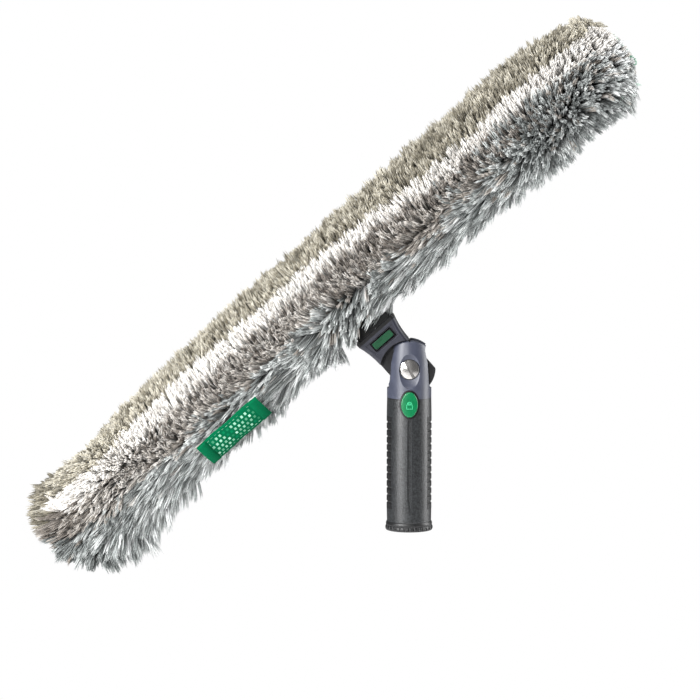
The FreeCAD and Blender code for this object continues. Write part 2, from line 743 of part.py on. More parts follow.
def make_grip():
    """Make the grip with its well, front groove and the seats of the side pads."""
    length = d.seam - d.ring_height
    swell = length * length / (d.grip_belly * 8) + d.grip_belly / 2
    body = turned_body("grip_sleeve", [
        (d.grip_bore, d.ring_height), (d.handle_radius, d.ring_height),
        (d.handle_radius, d.seam, swell, LEFT), (d.grip_bore, d.seam),
    ])
    cut_button_well(body)
    line = new_sketch(body, FRONT, d.handle_radius - d.grip_groove_depth)
    half = d.grip_groove_width / 2
    foot = d.ring_height + d.grip_groove_foot
    draw_outline(line, [
        (ZERO, foot), (half, foot + d.grip_groove_point), (half, d.seam - d.grip_groove_top),
        (-half, d.seam - d.grip_groove_top), (-half, foot + d.grip_groove_point),
    ])
    pocket(body, line, d.overrun, both_ways=False, outward=True)
    seat = new_sketch(body, FRONT)
    low = d.ring_height + d.pad_foot
    draw_outline(seat, box_corners(
        d.handle_radius - d.pad_seat, d.clear_radius, low, low + d.pad_length))
    cut = groove(body, seat, d.pad_angle)
    mirror(body, cut, SIDE)


def make_side_pad(label, rotation):
    """Make a ribbed side pad in its seat."""
    body = new_body(label)
    low = d.ring_height + d.pad_foot
    outer = d.handle_radius + d.pad_proud
    section = new_sketch(body, FRONT)
    draw_outline(section, box_corners(
        d.handle_radius - d.pad_seat + d.fit_gap, outer,
        low + d.fit_gap, low + d.pad_length - d.fit_gap))
    revolve(body, section, d.pad_angle - d.pad_angle_gap * 2)
    row = d.pad_rib_pitch * (d.pad_rib_count - 1)
    rib = new_sketch(body, FRONT)
    draw_circle(rib, outer + d.pad_rib_radius - d.pad_rib_depth,
                low + (d.pad_length - row) / 2, d.pad_rib_radius)
    cut = groove(body, rib)
    repeat(body, cut, rib, "V_Axis", d.pad_rib_pitch, d.pad_rib_count)
    stand(body, ZERO, ZERO, ZERO, rotation)


def make_foot_ring():
    """Make the flared foot ring with its two beads and finger notches."""
    foot = d.handle_radius + d.ring_flare
    body = turned_body("end_ring", [
        (d.grip_bore, ZERO), (foot - d.ring_step, ZERO),
        (foot - d.ring_step, d.ring_foot_height, d.ring_bead_radius, LEFT),
        (d.handle_radius, d.ring_height, d.ring_bead_radius, LEFT), (d.grip_bore, d.ring_height),
    ])
    notch = new_sketch(body, TOP)
    draw_circle(notch, foot + d.ring_notch_radius - d.ring_notch_depth, ZERO, d.ring_notch_radius)
    cut = pocket(body, notch, d.ring_foot_height, both_ways=False, outward=True)
    pattern = body.newObject("PartDesign::PolarPattern", "ring_notches")
    pattern.Originals = [cut]
    pattern.Axis = (notch, ["N_Axis"])
    pattern.Angle = FULL_TURN
    bind(pattern, "Occurrences", d.ring_notch_count)
    body.Tip = pattern


# Push button, its surround, leaf spring and latch ring

def trim_front(body, half_width, edge, crown, radius):
    """Cut a round front: an upright drum of the radius, whose face passes the crown."""
    sketch = new_sketch(body, TOP)
    front = d.clear_radius + d.overrun
    draw_outline(sketch, [
        (-half_width, -edge), (ZERO, -crown, radius, LEFT), (half_width, -edge, radius, LEFT),
        (half_width, -front), (-half_width, -front),
    ])
    pocket(body, sketch, d.fork_top * 2)


def make_bezel():
    """Make the oval surround of the button, round like the handle."""
    body = new_body("button_bezel")
    ring = new_sketch(body, FRONT, d.bezel_back)
    draw_outline(ring, button_oval(d.bezel_outer_gap))
    draw_outline(ring, button_oval(d.bezel_inner_gap))
    pad(body, ring, d.clear_radius - d.bezel_back, both_ways=False)
    radius = d.handle_radius + d.bezel_proud
    half = d.button_half_width + d.bezel_outer_gap + d.fit_gap
    trim_front(body, half, cathetus(radius, half), radius, radius)


def make_button():
    """Make the button's cap with its crowned face and the slot for the latch's tab."""
    body = new_body("lock_button")
    oval = new_sketch(body, FRONT, d.button_back)
    draw_outline(oval, button_oval(ZERO))
    pad(body, oval, d.clear_radius - d.button_back, both_ways=False)
    crown = d.handle_radius + d.button_proud
    half = d.button_half_width + d.slide_gap
    edge = crown - d.button_crown_radius + cathetus(d.button_crown_radius, half)
    trim_front(body, half, edge, crown, d.button_crown_radius)
    front = d.button_back + d.button_thickness / 2
    round_edges(body, d.button_edge_radius, lambda e: e.BoundBox.YMax < -front.value)
    slot = new_sketch(body, FRONT, d.button_back)
    half_tab = d.latch_tab_width / 2 + d.fit_gap
    draw_outline(slot, box_corners(
        -half_tab, half_tab, d.latch_foot - d.fit_gap,
        d.latch_foot + d.latch_thickness + d.fit_gap))
    pocket(body, slot, d.latch_tab_grip, both_ways=False, outward=True)


def make_latch_ring():
    """Make the ring whose rear rim drops into the groove of the pole's cone."""
    body = new_body("latch_ring")
    plate = new_sketch(body, TOP)
    draw_circle(plate, ZERO, ZERO, d.latch_radius)
    draw_circle(plate, ZERO, ZERO, d.latch_bore)
    pad(body, plate, d.latch_thickness, both_ways=False)
    tab = new_sketch(body, TOP)
    half = d.latch_tab_width / 2
    front = d.button_back + d.latch_tab_grip - d.fit_gap - d.button_travel
    draw_outline(tab, box_corners(-half, half, -front, -(d.latch_bore + d.latch_rim / 2)))
    pad(body, tab, d.latch_thickness, both_ways=False)
    stand(body, ZERO, -d.button_travel, d.latch_foot)


def make_button_spring():
    """Make the bowed leaf between the button and the bottom of its pocket."""
    body = new_body("button_spring")
    bow = new_sketch(body, TOP)
    half = d.spring_span / 2
    foot = d.well_floor - d.spring_pocket_depth + d.fit_gap
    crown = d.button_back - d.fit_gap
    outer = (half * half + (crown - foot) * (crown - foot)) / ((crown - foot) * 2)
    inner_half = half - d.spring_thickness
    inner_crown = crown - d.spring_thickness
    inner_rise = inner_crown - foot
    inner = (inner_half * inner_half + inner_rise * inner_rise) / (inner_rise * 2)
    draw_outline(bow, [
        (-half, -foot), (ZERO, -crown, outer, LEFT), (half, -foot, outer, LEFT),
        (inner_half, -foot), (ZERO, -inner_crown, inner, RIGHT), (-inner_half, -foot, inner, RIGHT),
    ])
    pad(body, bow, d.spring_width)
    stand(body, ZERO, ZERO, d.button_height + d.spring_lift)


# Swivel: bolt, nut, washers

def make_bolt():
    """Make the swivel bolt with a domed head and a coin slot."""
    top = d.bolt_head_edge + d.bolt_head_dome
    dome = (d.bolt_head_radius * d.bolt_head_radius + d.bolt_head_dome * d.bolt_head_dome) \
        / (d.bolt_head_dome * 2)
    length = d.cone_washer_height + d.seat_plane * 2 + d.nut_height + d.bolt_tail
    body = turned_body("pivot_bolt", [
        (ZERO, -top), (d.bolt_head_radius, -d.bolt_head_edge, dome, LEFT),
        (d.bolt_head_radius, ZERO), (d.bolt_radius, ZERO), (d.bolt_radius, length), (ZERO, length),
    ])
    slot = new_sketch(body, FRONT)
    half = d.bolt_slot_width / 2
    draw_outline(slot, box_corners(-half, half, -(top + d.overrun), d.bolt_slot_depth - top))
    pocket(body, slot, d.bolt_head_radius * 2 + d.overrun)
    stand(body, ZERO, -(d.seat_plane + d.cone_washer_height), d.pivot,
          TO_BACK.multiply(turn(Z_AXIS, -d.bolt_slot_turn.value)))


def make_cone_washer():
    """Make the conical spring washer under the bolt's head."""
    inner = d.bolt_radius + d.bolt_run_gap
    body = turned_body("spring_washer", [
        (inner, d.cone_washer_height - d.cone_washer_wall), (d.bolt_head_radius, ZERO),
        (d.bolt_head_radius, d.cone_washer_wall), (inner, d.cone_washer_height),
    ])
    stand(body, ZERO, -d.seat_plane, d.pivot, TO_FRONT)


def make_nut():
    """Make the hexagon nut behind the fork, with its outer corners turned off."""
    body = new_body("pivot_nut")
    flats = new_sketch(body, TOP)
    draw_outline(flats, hexagon(ZERO, d.nut_half_width))
    draw_circle(flats, ZERO, ZERO, d.bolt_radius)
    pad(body, flats, d.nut_height, both_ways=False)
    corner = d.nut_half_width / math.cos(math.pi / HEX_SIDES)
    turned_off = new_sketch(body, FRONT)
    draw_outline(turned_off, [
        (corner - d.nut_chamfer * 2, d.nut_height), (corner, d.nut_height - d.nut_chamfer),
        (corner + d.overrun, d.nut_height - d.nut_chamfer), (corner + d.overrun, d.nut_height),
    ])
    groove(body, turned_off)
    stand(body, ZERO, d.seat_plane, d.pivot, TO_BACK)


def make_friction_washers():
    """Make the two discs between the cheeks and the tongue."""
    inner = d.bolt_radius + d.bolt_run_gap
    for label, rotation in (("friction_washer_front", TO_FRONT), ("friction_washer_rear", TO_BACK)):
        low = d.slot_half - d.friction_thickness
        body = turned_ring(label, inner, d.friction_radius, low, d.slot_half)
        stand(body, ZERO, ZERO, d.pivot, rotation)


# Washer head: neck, bar and sleeve, built about the bolt with the bar straight

def neck_side_at(height):
    """Return half the neck's width at a height on its hollow flanks."""
    return d.tongue_half_width + d.flank_radius - cathetus(d.flank_radius, height - d.flank_foot)


def make_neck():
    """Make the neck: a block with hollow flanks and a tongue, a mortise for the bar and a sunk panel."""
    body = new_body("neck_block")
    outline = new_sketch(body, FRONT)
    corner = -cathetus(d.tongue_reach, d.tongue_half_width)
    draw_outline(outline, [
        (-d.tongue_half_width, corner), (ZERO, -d.tongue_reach, d.tongue_reach, LEFT),
        (d.tongue_half_width, corner, d.tongue_reach, LEFT), (d.tongue_half_width, d.flank_foot),
        (d.neck_half_width, d.neck_height, d.flank_radius, RIGHT), (-d.neck_half_width, d.neck_height),
        (-d.tongue_half_width, d.flank_foot, d.flank_radius, RIGHT),
    ])
    pad(body, outline, d.neck_depth)
    round_edges(body, d.neck_edge_radius, is_neck_corner)
    for outward, offset in ((True, d.tongue_thickness / 2), (False, -d.tongue_thickness / 2)):
        rebate = new_sketch(body, FRONT, offset)
        draw_circle(rebate, ZERO, ZERO, d.neck_arc_radius)
        pocket(body, rebate, d.neck_depth, both_ways=False, outward=outward)
    bore = new_sketch(body, FRONT)
    draw_circle(bore, ZERO, ZERO, d.bush_radius + d.fit_gap)
    pocket(body, bore, d.neck_depth)

    mortise = new_sketch(body, TOP, d.neck_height)
    half_width = d.tenon_half_width + d.fit_gap
    half_depth = d.tenon_half_depth + d.fit_gap
    draw_outline(mortise, box_corners(-half_width, half_width, -half_depth, half_depth))
    pocket(body, mortise, d.tenon_well, both_ways=False)

    panel_low = d.neck_height - d.badge_drop - d.neck_panel_drop
    panel_high = d.neck_height - d.neck_panel_edge
    panel = new_sketch(body, FRONT, d.neck_depth / 2 - d.neck_panel_depth)
    low_half = neck_side_at(panel_low) - d.neck_panel_edge - d.neck_edge_radius / 2
    high_half = neck_side_at(panel_high) - d.neck_panel_edge - d.neck_edge_radius / 2
    draw_outline(panel, [
        (-low_half, panel_low), (low_half, panel_low),
        (high_half, panel_high), (-high_half, panel_high),
    ])
    pocket(body, panel, d.overrun, both_ways=False, outward=True)

    for sign in (1, -1):
        x = d.neck_screw_offset * sign
        z = d.neck_height - d.neck_screw_drop
        seat = new_sketch(body, FRONT, d.neck_screw_seat - d.neck_depth / 2)
        draw_circle(seat, x, z, d.neck_screw_head + d.fit_gap)
        pocket(body, seat, d.overrun + d.neck_screw_seat, both_ways=False)
        hole = new_sketch(body, FRONT)
        draw_circle(hole, x, z, d.neck_screw_radius + d.fit_gap)
        pocket(body, hole, d.neck_depth, both_ways=False)
    hang(body, ZERO, ZERO, ZERO)


def is_neck_corner(edge):
    """Tell whether an edge borders the neck's front or back face above the tongue."""
    box = edge.BoundBox
    on_face = box.YLength < d.fit_gap.value and is_near(abs(box.YMax), d.neck_depth / 2)
    return on_face and box.ZMax > d.tongue_half_width.value and box.ZLength > d.overrun.value


def make_bush():
    """Make the bush that the tongue turns on."""
    inner = d.bolt_radius + d.bolt_run_gap
    half = d.tongue_thickness / 2
    body = turned_ring("pivot_bush", inner, d.bush_radius, -half, half)
    hang(body, ZERO, ZERO, ZERO, TO_BACK)


def make_badge():
    """Make the plain plate in the neck's sunk panel."""
    body = new_body("neck_badge")
    plate = new_sketch(body, FRONT)
    draw_outline(plate, round_box(
        ZERO, ZERO, d.badge_length / 2, d.badge_height / 2, d.badge_corner_radius))
    pad(body, plate, d.badge_thickness, both_ways=False)
    back = d.neck_depth / 2 - d.neck_panel_depth + d.fit_gap
    hang(body, ZERO, -back, d.neck_height - d.badge_drop)


def make_bar():
    """Make the bar with its water windows and the stem, flange and tenon that carry it."""
    body = new_body("t_bar")
    section = new_sketch(body, SIDE)
    draw_outline(section, stadium(d.bar_middle, d.bar_thickness / 2, d.bar_width / 2))
    pad(body, section, d.bar_length)
    stem = new_sketch(body, FRONT)
    flange_top = d.neck_height + d.flange_height
    root_half = d.stem_half_width + d.stem_root_radius
    draw_outline(stem, [
        (-d.stem_half_width, flange_top), (d.stem_half_width, flange_top),
        (d.stem_half_width, d.bar_foot - d.stem_root_radius),
        (root_half, d.bar_foot, d.stem_root_radius, RIGHT),
        (root_half, d.bar_middle), (-root_half, d.bar_middle), (-root_half, d.bar_foot),
        (-d.stem_half_width, d.bar_foot - d.stem_root_radius, d.stem_root_radius, RIGHT),
    ])
    pad(body, stem, d.stem_half_depth * 2)
    flange = new_sketch(body, TOP, d.neck_height)
    draw_outline(flange, round_box(
        ZERO, ZERO, d.neck_half_width, d.neck_depth / 2, d.neck_edge_radius))
    pad(body, flange, d.flange_height, both_ways=False)
    tenon = new_sketch(body, TOP, d.neck_height)
    draw_outline(tenon, box_corners(
        -d.tenon_half_width, d.tenon_half_width, -d.tenon_half_depth, d.tenon_half_depth))
    pad(body, tenon, d.tenon_length, both_ways=False, reverse=True)
    row_length = d.bar_length / 2 - d.bar_window_margin - d.bar_window_length / 2 - d.bar_window_start
    window_count = whole(row_length / d.bar_window_pitch) + 1
    for sign in (1, -1):
        window = new_sketch(body, FRONT)
        draw_outline(window, round_box(
            d.bar_window_start * sign, d.bar_middle,
            d.bar_window_length / 2, d.bar_window_height / 2, d.bar_window_radius))
        cut = pocket(body, window, d.bar_thickness + d.overrun)
        row = repeat(body, cut, window, "H_Axis", d.bar_window_pitch, window_count)
        row.Reversed = sign < 0
        hole = new_sketch(body, FRONT)
        draw_circle(hole, d.neck_screw_offset * sign, d.neck_height - d.neck_screw_drop,
                    d.neck_screw_radius + d.fit_gap)
        pocket(body, hole, d.tenon_half_depth * 2 + d.overrun)
    round_edges(body, d.bar_end_radius, is_bar_end)
    hang(body, ZERO, ZERO, ZERO)


def is_bar_end(edge):
    """Tell whether an edge lies on one of the bar's end faces."""
    box = edge.BoundBox
    return box.XLength < d.fit_gap.value and is_near(abs(box.XMax), d.bar_length / 2)


def make_neck_screws():
    """Make the two screws that hold the tenon from behind."""
    for label, sign in (("neck_screw_left", -1), ("neck_screw_right", 1)):
        shank = d.neck_depth / 2 - d.neck_screw_seat - d.tenon_half_depth + d.neck_screw_bite
        body = turned_body(label, [
            (ZERO, -shank), (d.neck_screw_radius, -shank), (d.neck_screw_radius, ZERO),
            (d.neck_screw_head, ZERO), (d.neck_screw_head, d.neck_screw_cap),
            (ZERO, d.neck_screw_cap),
        ])
        hang(body, d.neck_screw_offset * sign, d.neck_depth / 2 - d.neck_screw_seat,
             d.neck_height - d.neck_screw_drop, TO_BACK)


def sleeve_section(body, place, drop):
    """Draw the sleeve's section at a place along the bar, let down by a drop."""
    sketch = new_sketch(body, SIDE, place)
    draw_outline(sketch, stadium(d.bar_middle - drop, d.sleeve_half_depth, d.sleeve_half_width))
    return sketch


def make_sleeve():
    """Make the pile sleeve: a closed hollow round the bar with hanging ends, open at the stem."""
    body = new_body("fibre_sleeve")
    tube = pad(body, sleeve_section(body, ZERO, ZERO), d.sleeve_sag_right, both_ways=False)
    tube.SideType = "Two sides"
    bind(tube, "Length2", d.sleeve_sag_left)
    for start, end in ((-d.sleeve_sag_left, -d.sleeve_left), (d.sleeve_sag_right, d.sleeve_right)):
        loft(body, [
            sleeve_section(body, start + (end - start) * way, d.sleeve_sag * drop)
            for way, drop in SLEEVE_SAG_SHARES])
    round_edges(body, d.sleeve_end_radius, is_sleeve_end)
    cavity = new_sketch(body, SIDE)
    draw_outline(cavity, stadium(
        d.bar_middle, d.bar_thickness / 2 + d.sleeve_room, d.bar_width / 2 + d.sleeve_room))
    pocket(body, cavity, d.cavity_half * 2)
    mouth = new_sketch(body, TOP, d.bar_middle)
    half_width = d.stem_half_width + d.stem_root_radius + d.sleeve_room
    half_depth = d.stem_half_depth + d.sleeve_room
    draw_outline(mouth, box_corners(-half_width, half_width, -half_depth, half_depth))
    pocket(body, mouth, d.sleeve_half_width + d.overrun, both_ways=False)
    slit = new_sketch(body, SIDE, -d.cavity_half + d.overrun)
    half_slit = d.tape_thickness + d.soft_gap
    half_tape = d.tape_width / 2 + d.soft_gap
    draw_outline(slit, box_corners(
        -half_slit, half_slit, d.end_middle - half_tape, d.end_middle + half_tape))
    pocket(body, slit, d.sleeve_left_end + d.overrun * 2, both_ways=False)
    seat = new_sketch(body, SIDE, d.sleeve_right - d.scrub_pad_thickness)
    draw_outline(seat, stadium(
        d.end_middle, d.scrub_pad_depth / 2 + d.soft_gap, d.scrub_pad_width / 2 + d.soft_gap))
    pocket(body, seat, d.scrub_pad_thickness + d.overrun, both_ways=False, outward=True)
    hang(body, ZERO, ZERO, ZERO)


def is_sleeve_end(edge):
    """Tell whether an edge lies on one of the sleeve's end faces."""
    box = edge.BoundBox
    on_end = any(is_near(box.XMax, end) for end in (-d.sleeve_left, d.sleeve_right))
    return on_end and box.XLength < d.fit_gap.value


def make_scrub_pad():
    """Make the scrub pad in the sleeve's closed end."""
    body = new_body("end_scrub_pad")
    section = new_sketch(body, SIDE)
    draw_outline(section, stadium(d.end_middle, d.scrub_pad_depth / 2, d.scrub_pad_width / 2))
    pad(body, section, d.scrub_pad_thickness - d.soft_gap, both_ways=False)
    hang(body, d.sleeve_right - d.scrub_pad_thickness + d.soft_gap, ZERO, ZERO)


def make_closure_tapes():
    """Make the hook and loop tapes that close the sleeve's open end."""
    for label, side in (("closure_hook_tape", -1), ("closure_loop_tape", 1)):
        body = new_body(label)
        face = new_sketch(body, FRONT)
        half = d.tape_width / 2
        draw_outline(face, box_corners(-d.tape_length, ZERO, -half, half))
        pad(body, face, d.tape_thickness)
        middle = (d.tape_thickness / 2 + d.soft_gap / 2) * side
        hang(body, -(d.cavity_half + d.soft_gap), middle, d.end_middle)


def make_label():
    """Make the label that lies on the sleeve's lower front."""
    body = new_body("sleeve_label")
    face = new_sketch(body, FRONT)
    half_length = d.label_length / 2
    half_width = d.label_width / 2
    draw_outline(face, box_corners(-half_length, half_length, -half_width, half_width))
    pad(body, face, d.label_thickness)
    lean = math.radians(d.label_lean.value)
    reach = d.sleeve_half_depth + d.soft_gap + d.label_thickness / 2
    round_middle = d.bar_middle - (d.sleeve_half_width - d.sleeve_half_depth)
    hang(body, -d.label_offset, -(reach * math.cos(lean)), round_middle - reach * math.sin(lean),
         turn(X_AXIS, d.label_lean.value))


def build():
    """Build every sub-part."""
    make_socket_tube()
    make_fork()
    make_core_screw()
    make_grip()
    make_side_pad("grip_pad_right", UPRIGHT)
    make_side_pad("grip_pad_left", turn(Z_AXIS, FULL_TURN / 2))
    make_foot_ring()
    make_bezel()
    make_button()
    make_latch_ring()
    make_button_spring()
    make_bolt()
    make_cone_washer()
    make_nut()
    make_friction_washers()
    make_neck()
    make_bush()
    make_badge()
    make_bar()
    make_neck_screws()
    make_sleeve()
    make_scrub_pad()
    make_closure_tapes()
    make_label()


def write_parts():
    """Check every object, then write one file for each sub-part."""
    doc.recompute()
    for item in doc.Objects:
        if "Invalid" in item.State or "Error" in item.State:
            raise RuntimeError(f"{item.Label} failed: {item.State}")
    for piece in pieces:
        if piece.Shape.isNull() or not piece.Shape.isValid():
            raise RuntimeError(f"{piece.Label} has no valid shape")
    os.makedirs("parts", exist_ok=True)
    for piece in pieces:
        piece.Shape.exportStep(f"parts/{piece.Label}.step")
        print(piece.Label, len(piece.Shape.Solids), round(piece.Shape.Volume, 1))


build()
write_parts()
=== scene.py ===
"""Looks of a window scrubber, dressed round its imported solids.

The pile sleeve, its label, its scrub pad and its closure tapes are modelled here as soft goods. The
rigid pieces keep their solids and get moulded, rubber and metal finishes. Lengths are in metres, in
the frame of the solids: the origin is the pole socket's mouth, +Z runs up the handle, -Y is the front.
"""

import logging
import math
from dataclasses import dataclass, field
from enum import Enum
from typing import Any, Self

import bmesh
import bpy
import numpy as np
from mathutils import Matrix, Vector

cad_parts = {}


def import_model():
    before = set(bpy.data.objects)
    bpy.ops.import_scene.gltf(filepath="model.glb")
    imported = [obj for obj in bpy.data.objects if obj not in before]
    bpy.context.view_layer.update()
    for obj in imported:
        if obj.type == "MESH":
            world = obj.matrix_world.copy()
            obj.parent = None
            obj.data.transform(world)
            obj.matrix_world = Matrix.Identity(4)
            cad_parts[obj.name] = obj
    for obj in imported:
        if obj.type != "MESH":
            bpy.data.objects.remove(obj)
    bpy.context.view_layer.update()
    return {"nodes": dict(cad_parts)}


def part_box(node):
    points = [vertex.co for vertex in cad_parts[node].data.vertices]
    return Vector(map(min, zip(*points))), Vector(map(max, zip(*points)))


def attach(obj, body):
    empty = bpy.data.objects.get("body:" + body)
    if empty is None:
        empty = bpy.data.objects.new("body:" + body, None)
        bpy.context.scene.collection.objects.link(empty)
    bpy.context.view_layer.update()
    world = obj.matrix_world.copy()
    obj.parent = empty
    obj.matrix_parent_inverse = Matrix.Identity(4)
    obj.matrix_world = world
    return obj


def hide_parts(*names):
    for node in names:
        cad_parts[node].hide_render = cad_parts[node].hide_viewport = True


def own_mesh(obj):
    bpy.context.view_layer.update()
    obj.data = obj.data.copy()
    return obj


Pair, Row, Array = tuple[float, float], tuple[float, ...], np.ndarray
Tree, Socket, Material = bpy.types.NodeTree, bpy.types.NodeSocket, bpy.types.Material
Piece, WorkMesh = bpy.types.Object, bmesh.types.BMesh

LOG = logging.getLogger("window_scrubber")
MM = 0.001
HANDLE, POLE_LOCK, WASHER_HEAD = "handle", "pole_lock", "washer_head"
FIBRE_MAP, RIBBON_MAP = "OFBake", "ribbon"
PIVOT_HEIGHT = 103 * MM
WAVE_UNIT = 20  # how many radians the wave texture turns in one unit of its scale


def linear(hex_colour: str) -> tuple[float, float, float, float]:
    """Turn an sRGB colour into linear light.

    Args:
        hex_colour: The colour as #rrggbb.

    Returns:
        Linear red, green, blue and an alpha of one.
    """
    channels = [int(hex_colour[i:i + 2], 16) / 255 for i in (1, 3, 5)]
    light = [c / 12.92 if c <= 0.04045 else ((c + 0.055) / 1.055) ** 2.4 for c in channels]
    return (*light, 1.0)


def set_inputs(tree: Tree, node: bpy.types.Node, inputs: dict[Any, Any]) -> None:
    """Set a node's inputs.

    Args:
        tree: The node's tree.
        node: The node.
        inputs: Values for the input sockets, or output sockets to link to them.
    """
    for name, value in inputs.items():
        if isinstance(value, Socket):
            tree.links.new(value, node.inputs[name])
        else:
            node.inputs[name].default_value = value


def add_node(
    tree: Tree,
    kind: str,
    inputs: dict[Any, Any] | None = None,
    stops: list[tuple[float, str]] | None = None,
    **settings: Any,
) -> bpy.types.Node:
    """Add a node with its settings, values and links.

    Args:
        tree: The material's or world's node tree.
        kind: The node's type, without its common prefix.
        inputs: Values for the input sockets, or output sockets to link to them.
        stops: Places and hex colours of a colour ramp.
        settings: The node's own properties.

    Returns:
        The new node.
    """
    node = tree.nodes.new(f"ShaderNode{kind}")
    for name, value in settings.items():
        setattr(node, name, value)
    set_inputs(tree, node, inputs or {})
    if stops:
        marks = node.color_ramp.elements
        while len(marks) < len(stops):
            marks.new(1.0)
        for mark, (place, colour) in zip(marks, stops):
            mark.position = place
            mark.color = linear(colour)
    return node


def new_material(name: str) -> tuple[Material, Tree, bpy.types.Node]:
    """Start a material with one surface shader.

    Args:
        name: The material's name.

    Returns:
        The material, its node tree and its shader.
    """
    material = bpy.data.materials.new(name)
    material.use_nodes = True
    tree = material.node_tree
    tree.nodes.clear()
    shader = add_node(tree, "BsdfPrincipled")
    add_node(tree, "OutputMaterial", {"Surface": shader.outputs["BSDF"]})
    return material, tree, shader


def add_noise(
    tree: Tree, place: Socket, size_mm: float, detail: float, roughness: float = 0.5
) -> Socket:
    """Add a noise whose grains have a real size, and return it."""
    return add_node(tree, "TexNoise", {
        "Vector": place, "Scale": 1 / (size_mm * MM), "Detail": detail,
        "Roughness": roughness}).outputs["Fac"]


def add_lines(
    tree: Tree,
    place: Socket,
    spacing_mm: float,
    distortion: float,
    detail: float = 2.0,
    **settings: str,
) -> Socket:
    """Add a wave whose lines have a real spacing and stray a little, and return it."""
    scale = 2 * math.pi / WAVE_UNIT / (spacing_mm * MM)
    return add_node(tree, "TexWave", {
        "Vector": place, "Scale": scale, "Distortion": distortion,
        "Detail": detail}, **settings).outputs["Fac"]


def add_sum(tree: Tree, operation: str, *values: Any) -> Socket:
    """Add a sum of numbers or of sockets that give them, and return the outcome."""
    return add_node(tree, "Math", dict(enumerate(values)), operation=operation).outputs[0]


def add_range(
    tree: Tree, value: Socket, start: Pair = (0.0, 1.0), end: Pair = (0.0, 1.0)
) -> Socket:
    """Turn one range of values into another, and return the new value."""
    return add_node(tree, "MapRange", {
        "Value": value, "From Min": start[0], "From Max": start[1],
        "To Min": end[0], "To Max": end[1]}).outputs[0]


def mix_colours(tree: Tree, share: Any, first: Any, second: Any, blend: str = "MIX") -> Socket:
    """Mix a share of the second colour into the first, and return the mixed colour."""
    return add_node(tree, "Mix", {"Factor": share, "A": first, "B": second},
                    data_type="RGBA", blend_type=blend).outputs["Result"]


def add_bump(tree: Tree, height: Socket, depth_mm: float) -> Socket:
    """Add a bump of a real depth where a pattern stands up, and return the normal."""
    return add_node(tree, "Bump", {
        "Height": height, "Distance": depth_mm * MM, "Strength": 1.0}).outputs[0]


@dataclass(frozen=True)
class MouldedPlastic:
    """Injection-moulded nylon or ABS: a satin grain from the etched mould, and paler handled edges."""

    name: str
    colour: str
    mottle: str
    edge: str
    roughness: float
    grain_mm: float
    grain_depth_mm: float
    mottle_mm: float = 6.0
    mottle_range: Pair = (0.16, 0.34)
    edge_mm: float = 0.35
    edge_agreement: Pair = (0.995, 0.9)
    edge_wear: float = 0.7
    rough_spread: float = 0.08
    coat: float = 0.0
    coat_roughness: float = 0.25
    specular: float = 0.4
    # Colour of the painted shade that a subclass's mask lays on; a plain moulding has none.
    shade: str = "#050506"

    def mask(self, tree: Tree, place: Socket) -> Socket | float:
        """Return where shade is painted on the moulding, which on a plain one is nowhere."""
        return 0.0

    def material(self) -> Material:
        """Build the material: grain in the bump, slow mottle in the colour, paler worn edges, and
        painted shade where the mask lies.
        """
        material, tree, shader = new_material(self.name)
        place = add_node(tree, "TexCoord").outputs["Object"]
        grain = add_noise(tree, place, self.grain_mm, detail=3.0, roughness=0.6)
        patch = add_noise(tree, place, self.mottle_mm, detail=4.0)
        share = add_range(tree, add_sum(tree, "MULTIPLY", grain, patch), self.mottle_range)
        body = mix_colours(tree, share, linear(self.mottle), linear(self.colour))
        soft = add_node(tree, "Bevel", {"Radius": self.edge_mm * MM}, samples=6).outputs[0]
        flat = add_node(tree, "NewGeometry").outputs["Normal"]
        agree = add_node(tree, "VectorMath", {0: soft, 1: flat}, operation="DOT_PRODUCT")
        worn = add_range(tree, agree.outputs["Value"], self.edge_agreement, (0.0, self.edge_wear))
        colour = mix_colours(tree, worn, body, linear(self.edge))
        set_inputs(tree, shader, {
            # The mask lays painted shade, in the shade colour, over the worn colour.
            "Base Color": mix_colours(tree, self.mask(tree, place), colour, linear(self.shade)),
            "Roughness": add_range(tree, patch, end=(
                self.roughness - self.rough_spread, self.roughness + self.rough_spread)),
            "Normal": add_bump(tree, grain, self.grain_depth_mm),
            "Coat Weight": self.coat,
            "Coat Roughness": self.coat_roughness,
            "Specular IOR Level": self.specular})
        return material


@dataclass(frozen=True)
class RecessShadedNylon(MouldedPlastic):
    """Moulded nylon with painted shade on its recessed faces round the bolt."""

    shaded_recess_mm: float = 18.7
    axis_height: float = PIVOT_HEIGHT

    def mask(self, tree: Tree, place: Socket) -> Socket | float:
        """Return the round place about the bolt's axis, which runs to the back, where shade is painted.
        """
        axis = (0, 0, self.axis_height)
        about = add_node(tree, "VectorMath", {0: place, 1: axis}, operation="SUBTRACT").outputs[0]
        across = add_node(tree, "VectorMath", {0: about, 1: (1, 0, 1)}, operation="MULTIPLY").outputs[0]
        away = add_node(tree, "VectorMath", {0: across}, operation="LENGTH").outputs["Value"]
        return add_sum(tree, "LESS_THAN", away, self.shaded_recess_mm * MM)


@dataclass(frozen=True)
class SeamShadedNylon(MouldedPlastic):
    """Moulded nylon with a painted shadow line round its lower edge, in the seam where the grip begins.
    """

    seam_shade_height: float = 83.9 * MM
    seam_shade_mm: float = 0.4

    def mask(self, tree: Tree, place: Socket) -> Socket | float:
        """Return the narrow band round the lower edge where the seam's shadow is painted."""
        height = add_node(tree, "SeparateXYZ", {"Vector": place}).outputs["Z"]
        return add_sum(tree, "COMPARE", height, self.seam_shade_height, self.seam_shade_mm * MM)


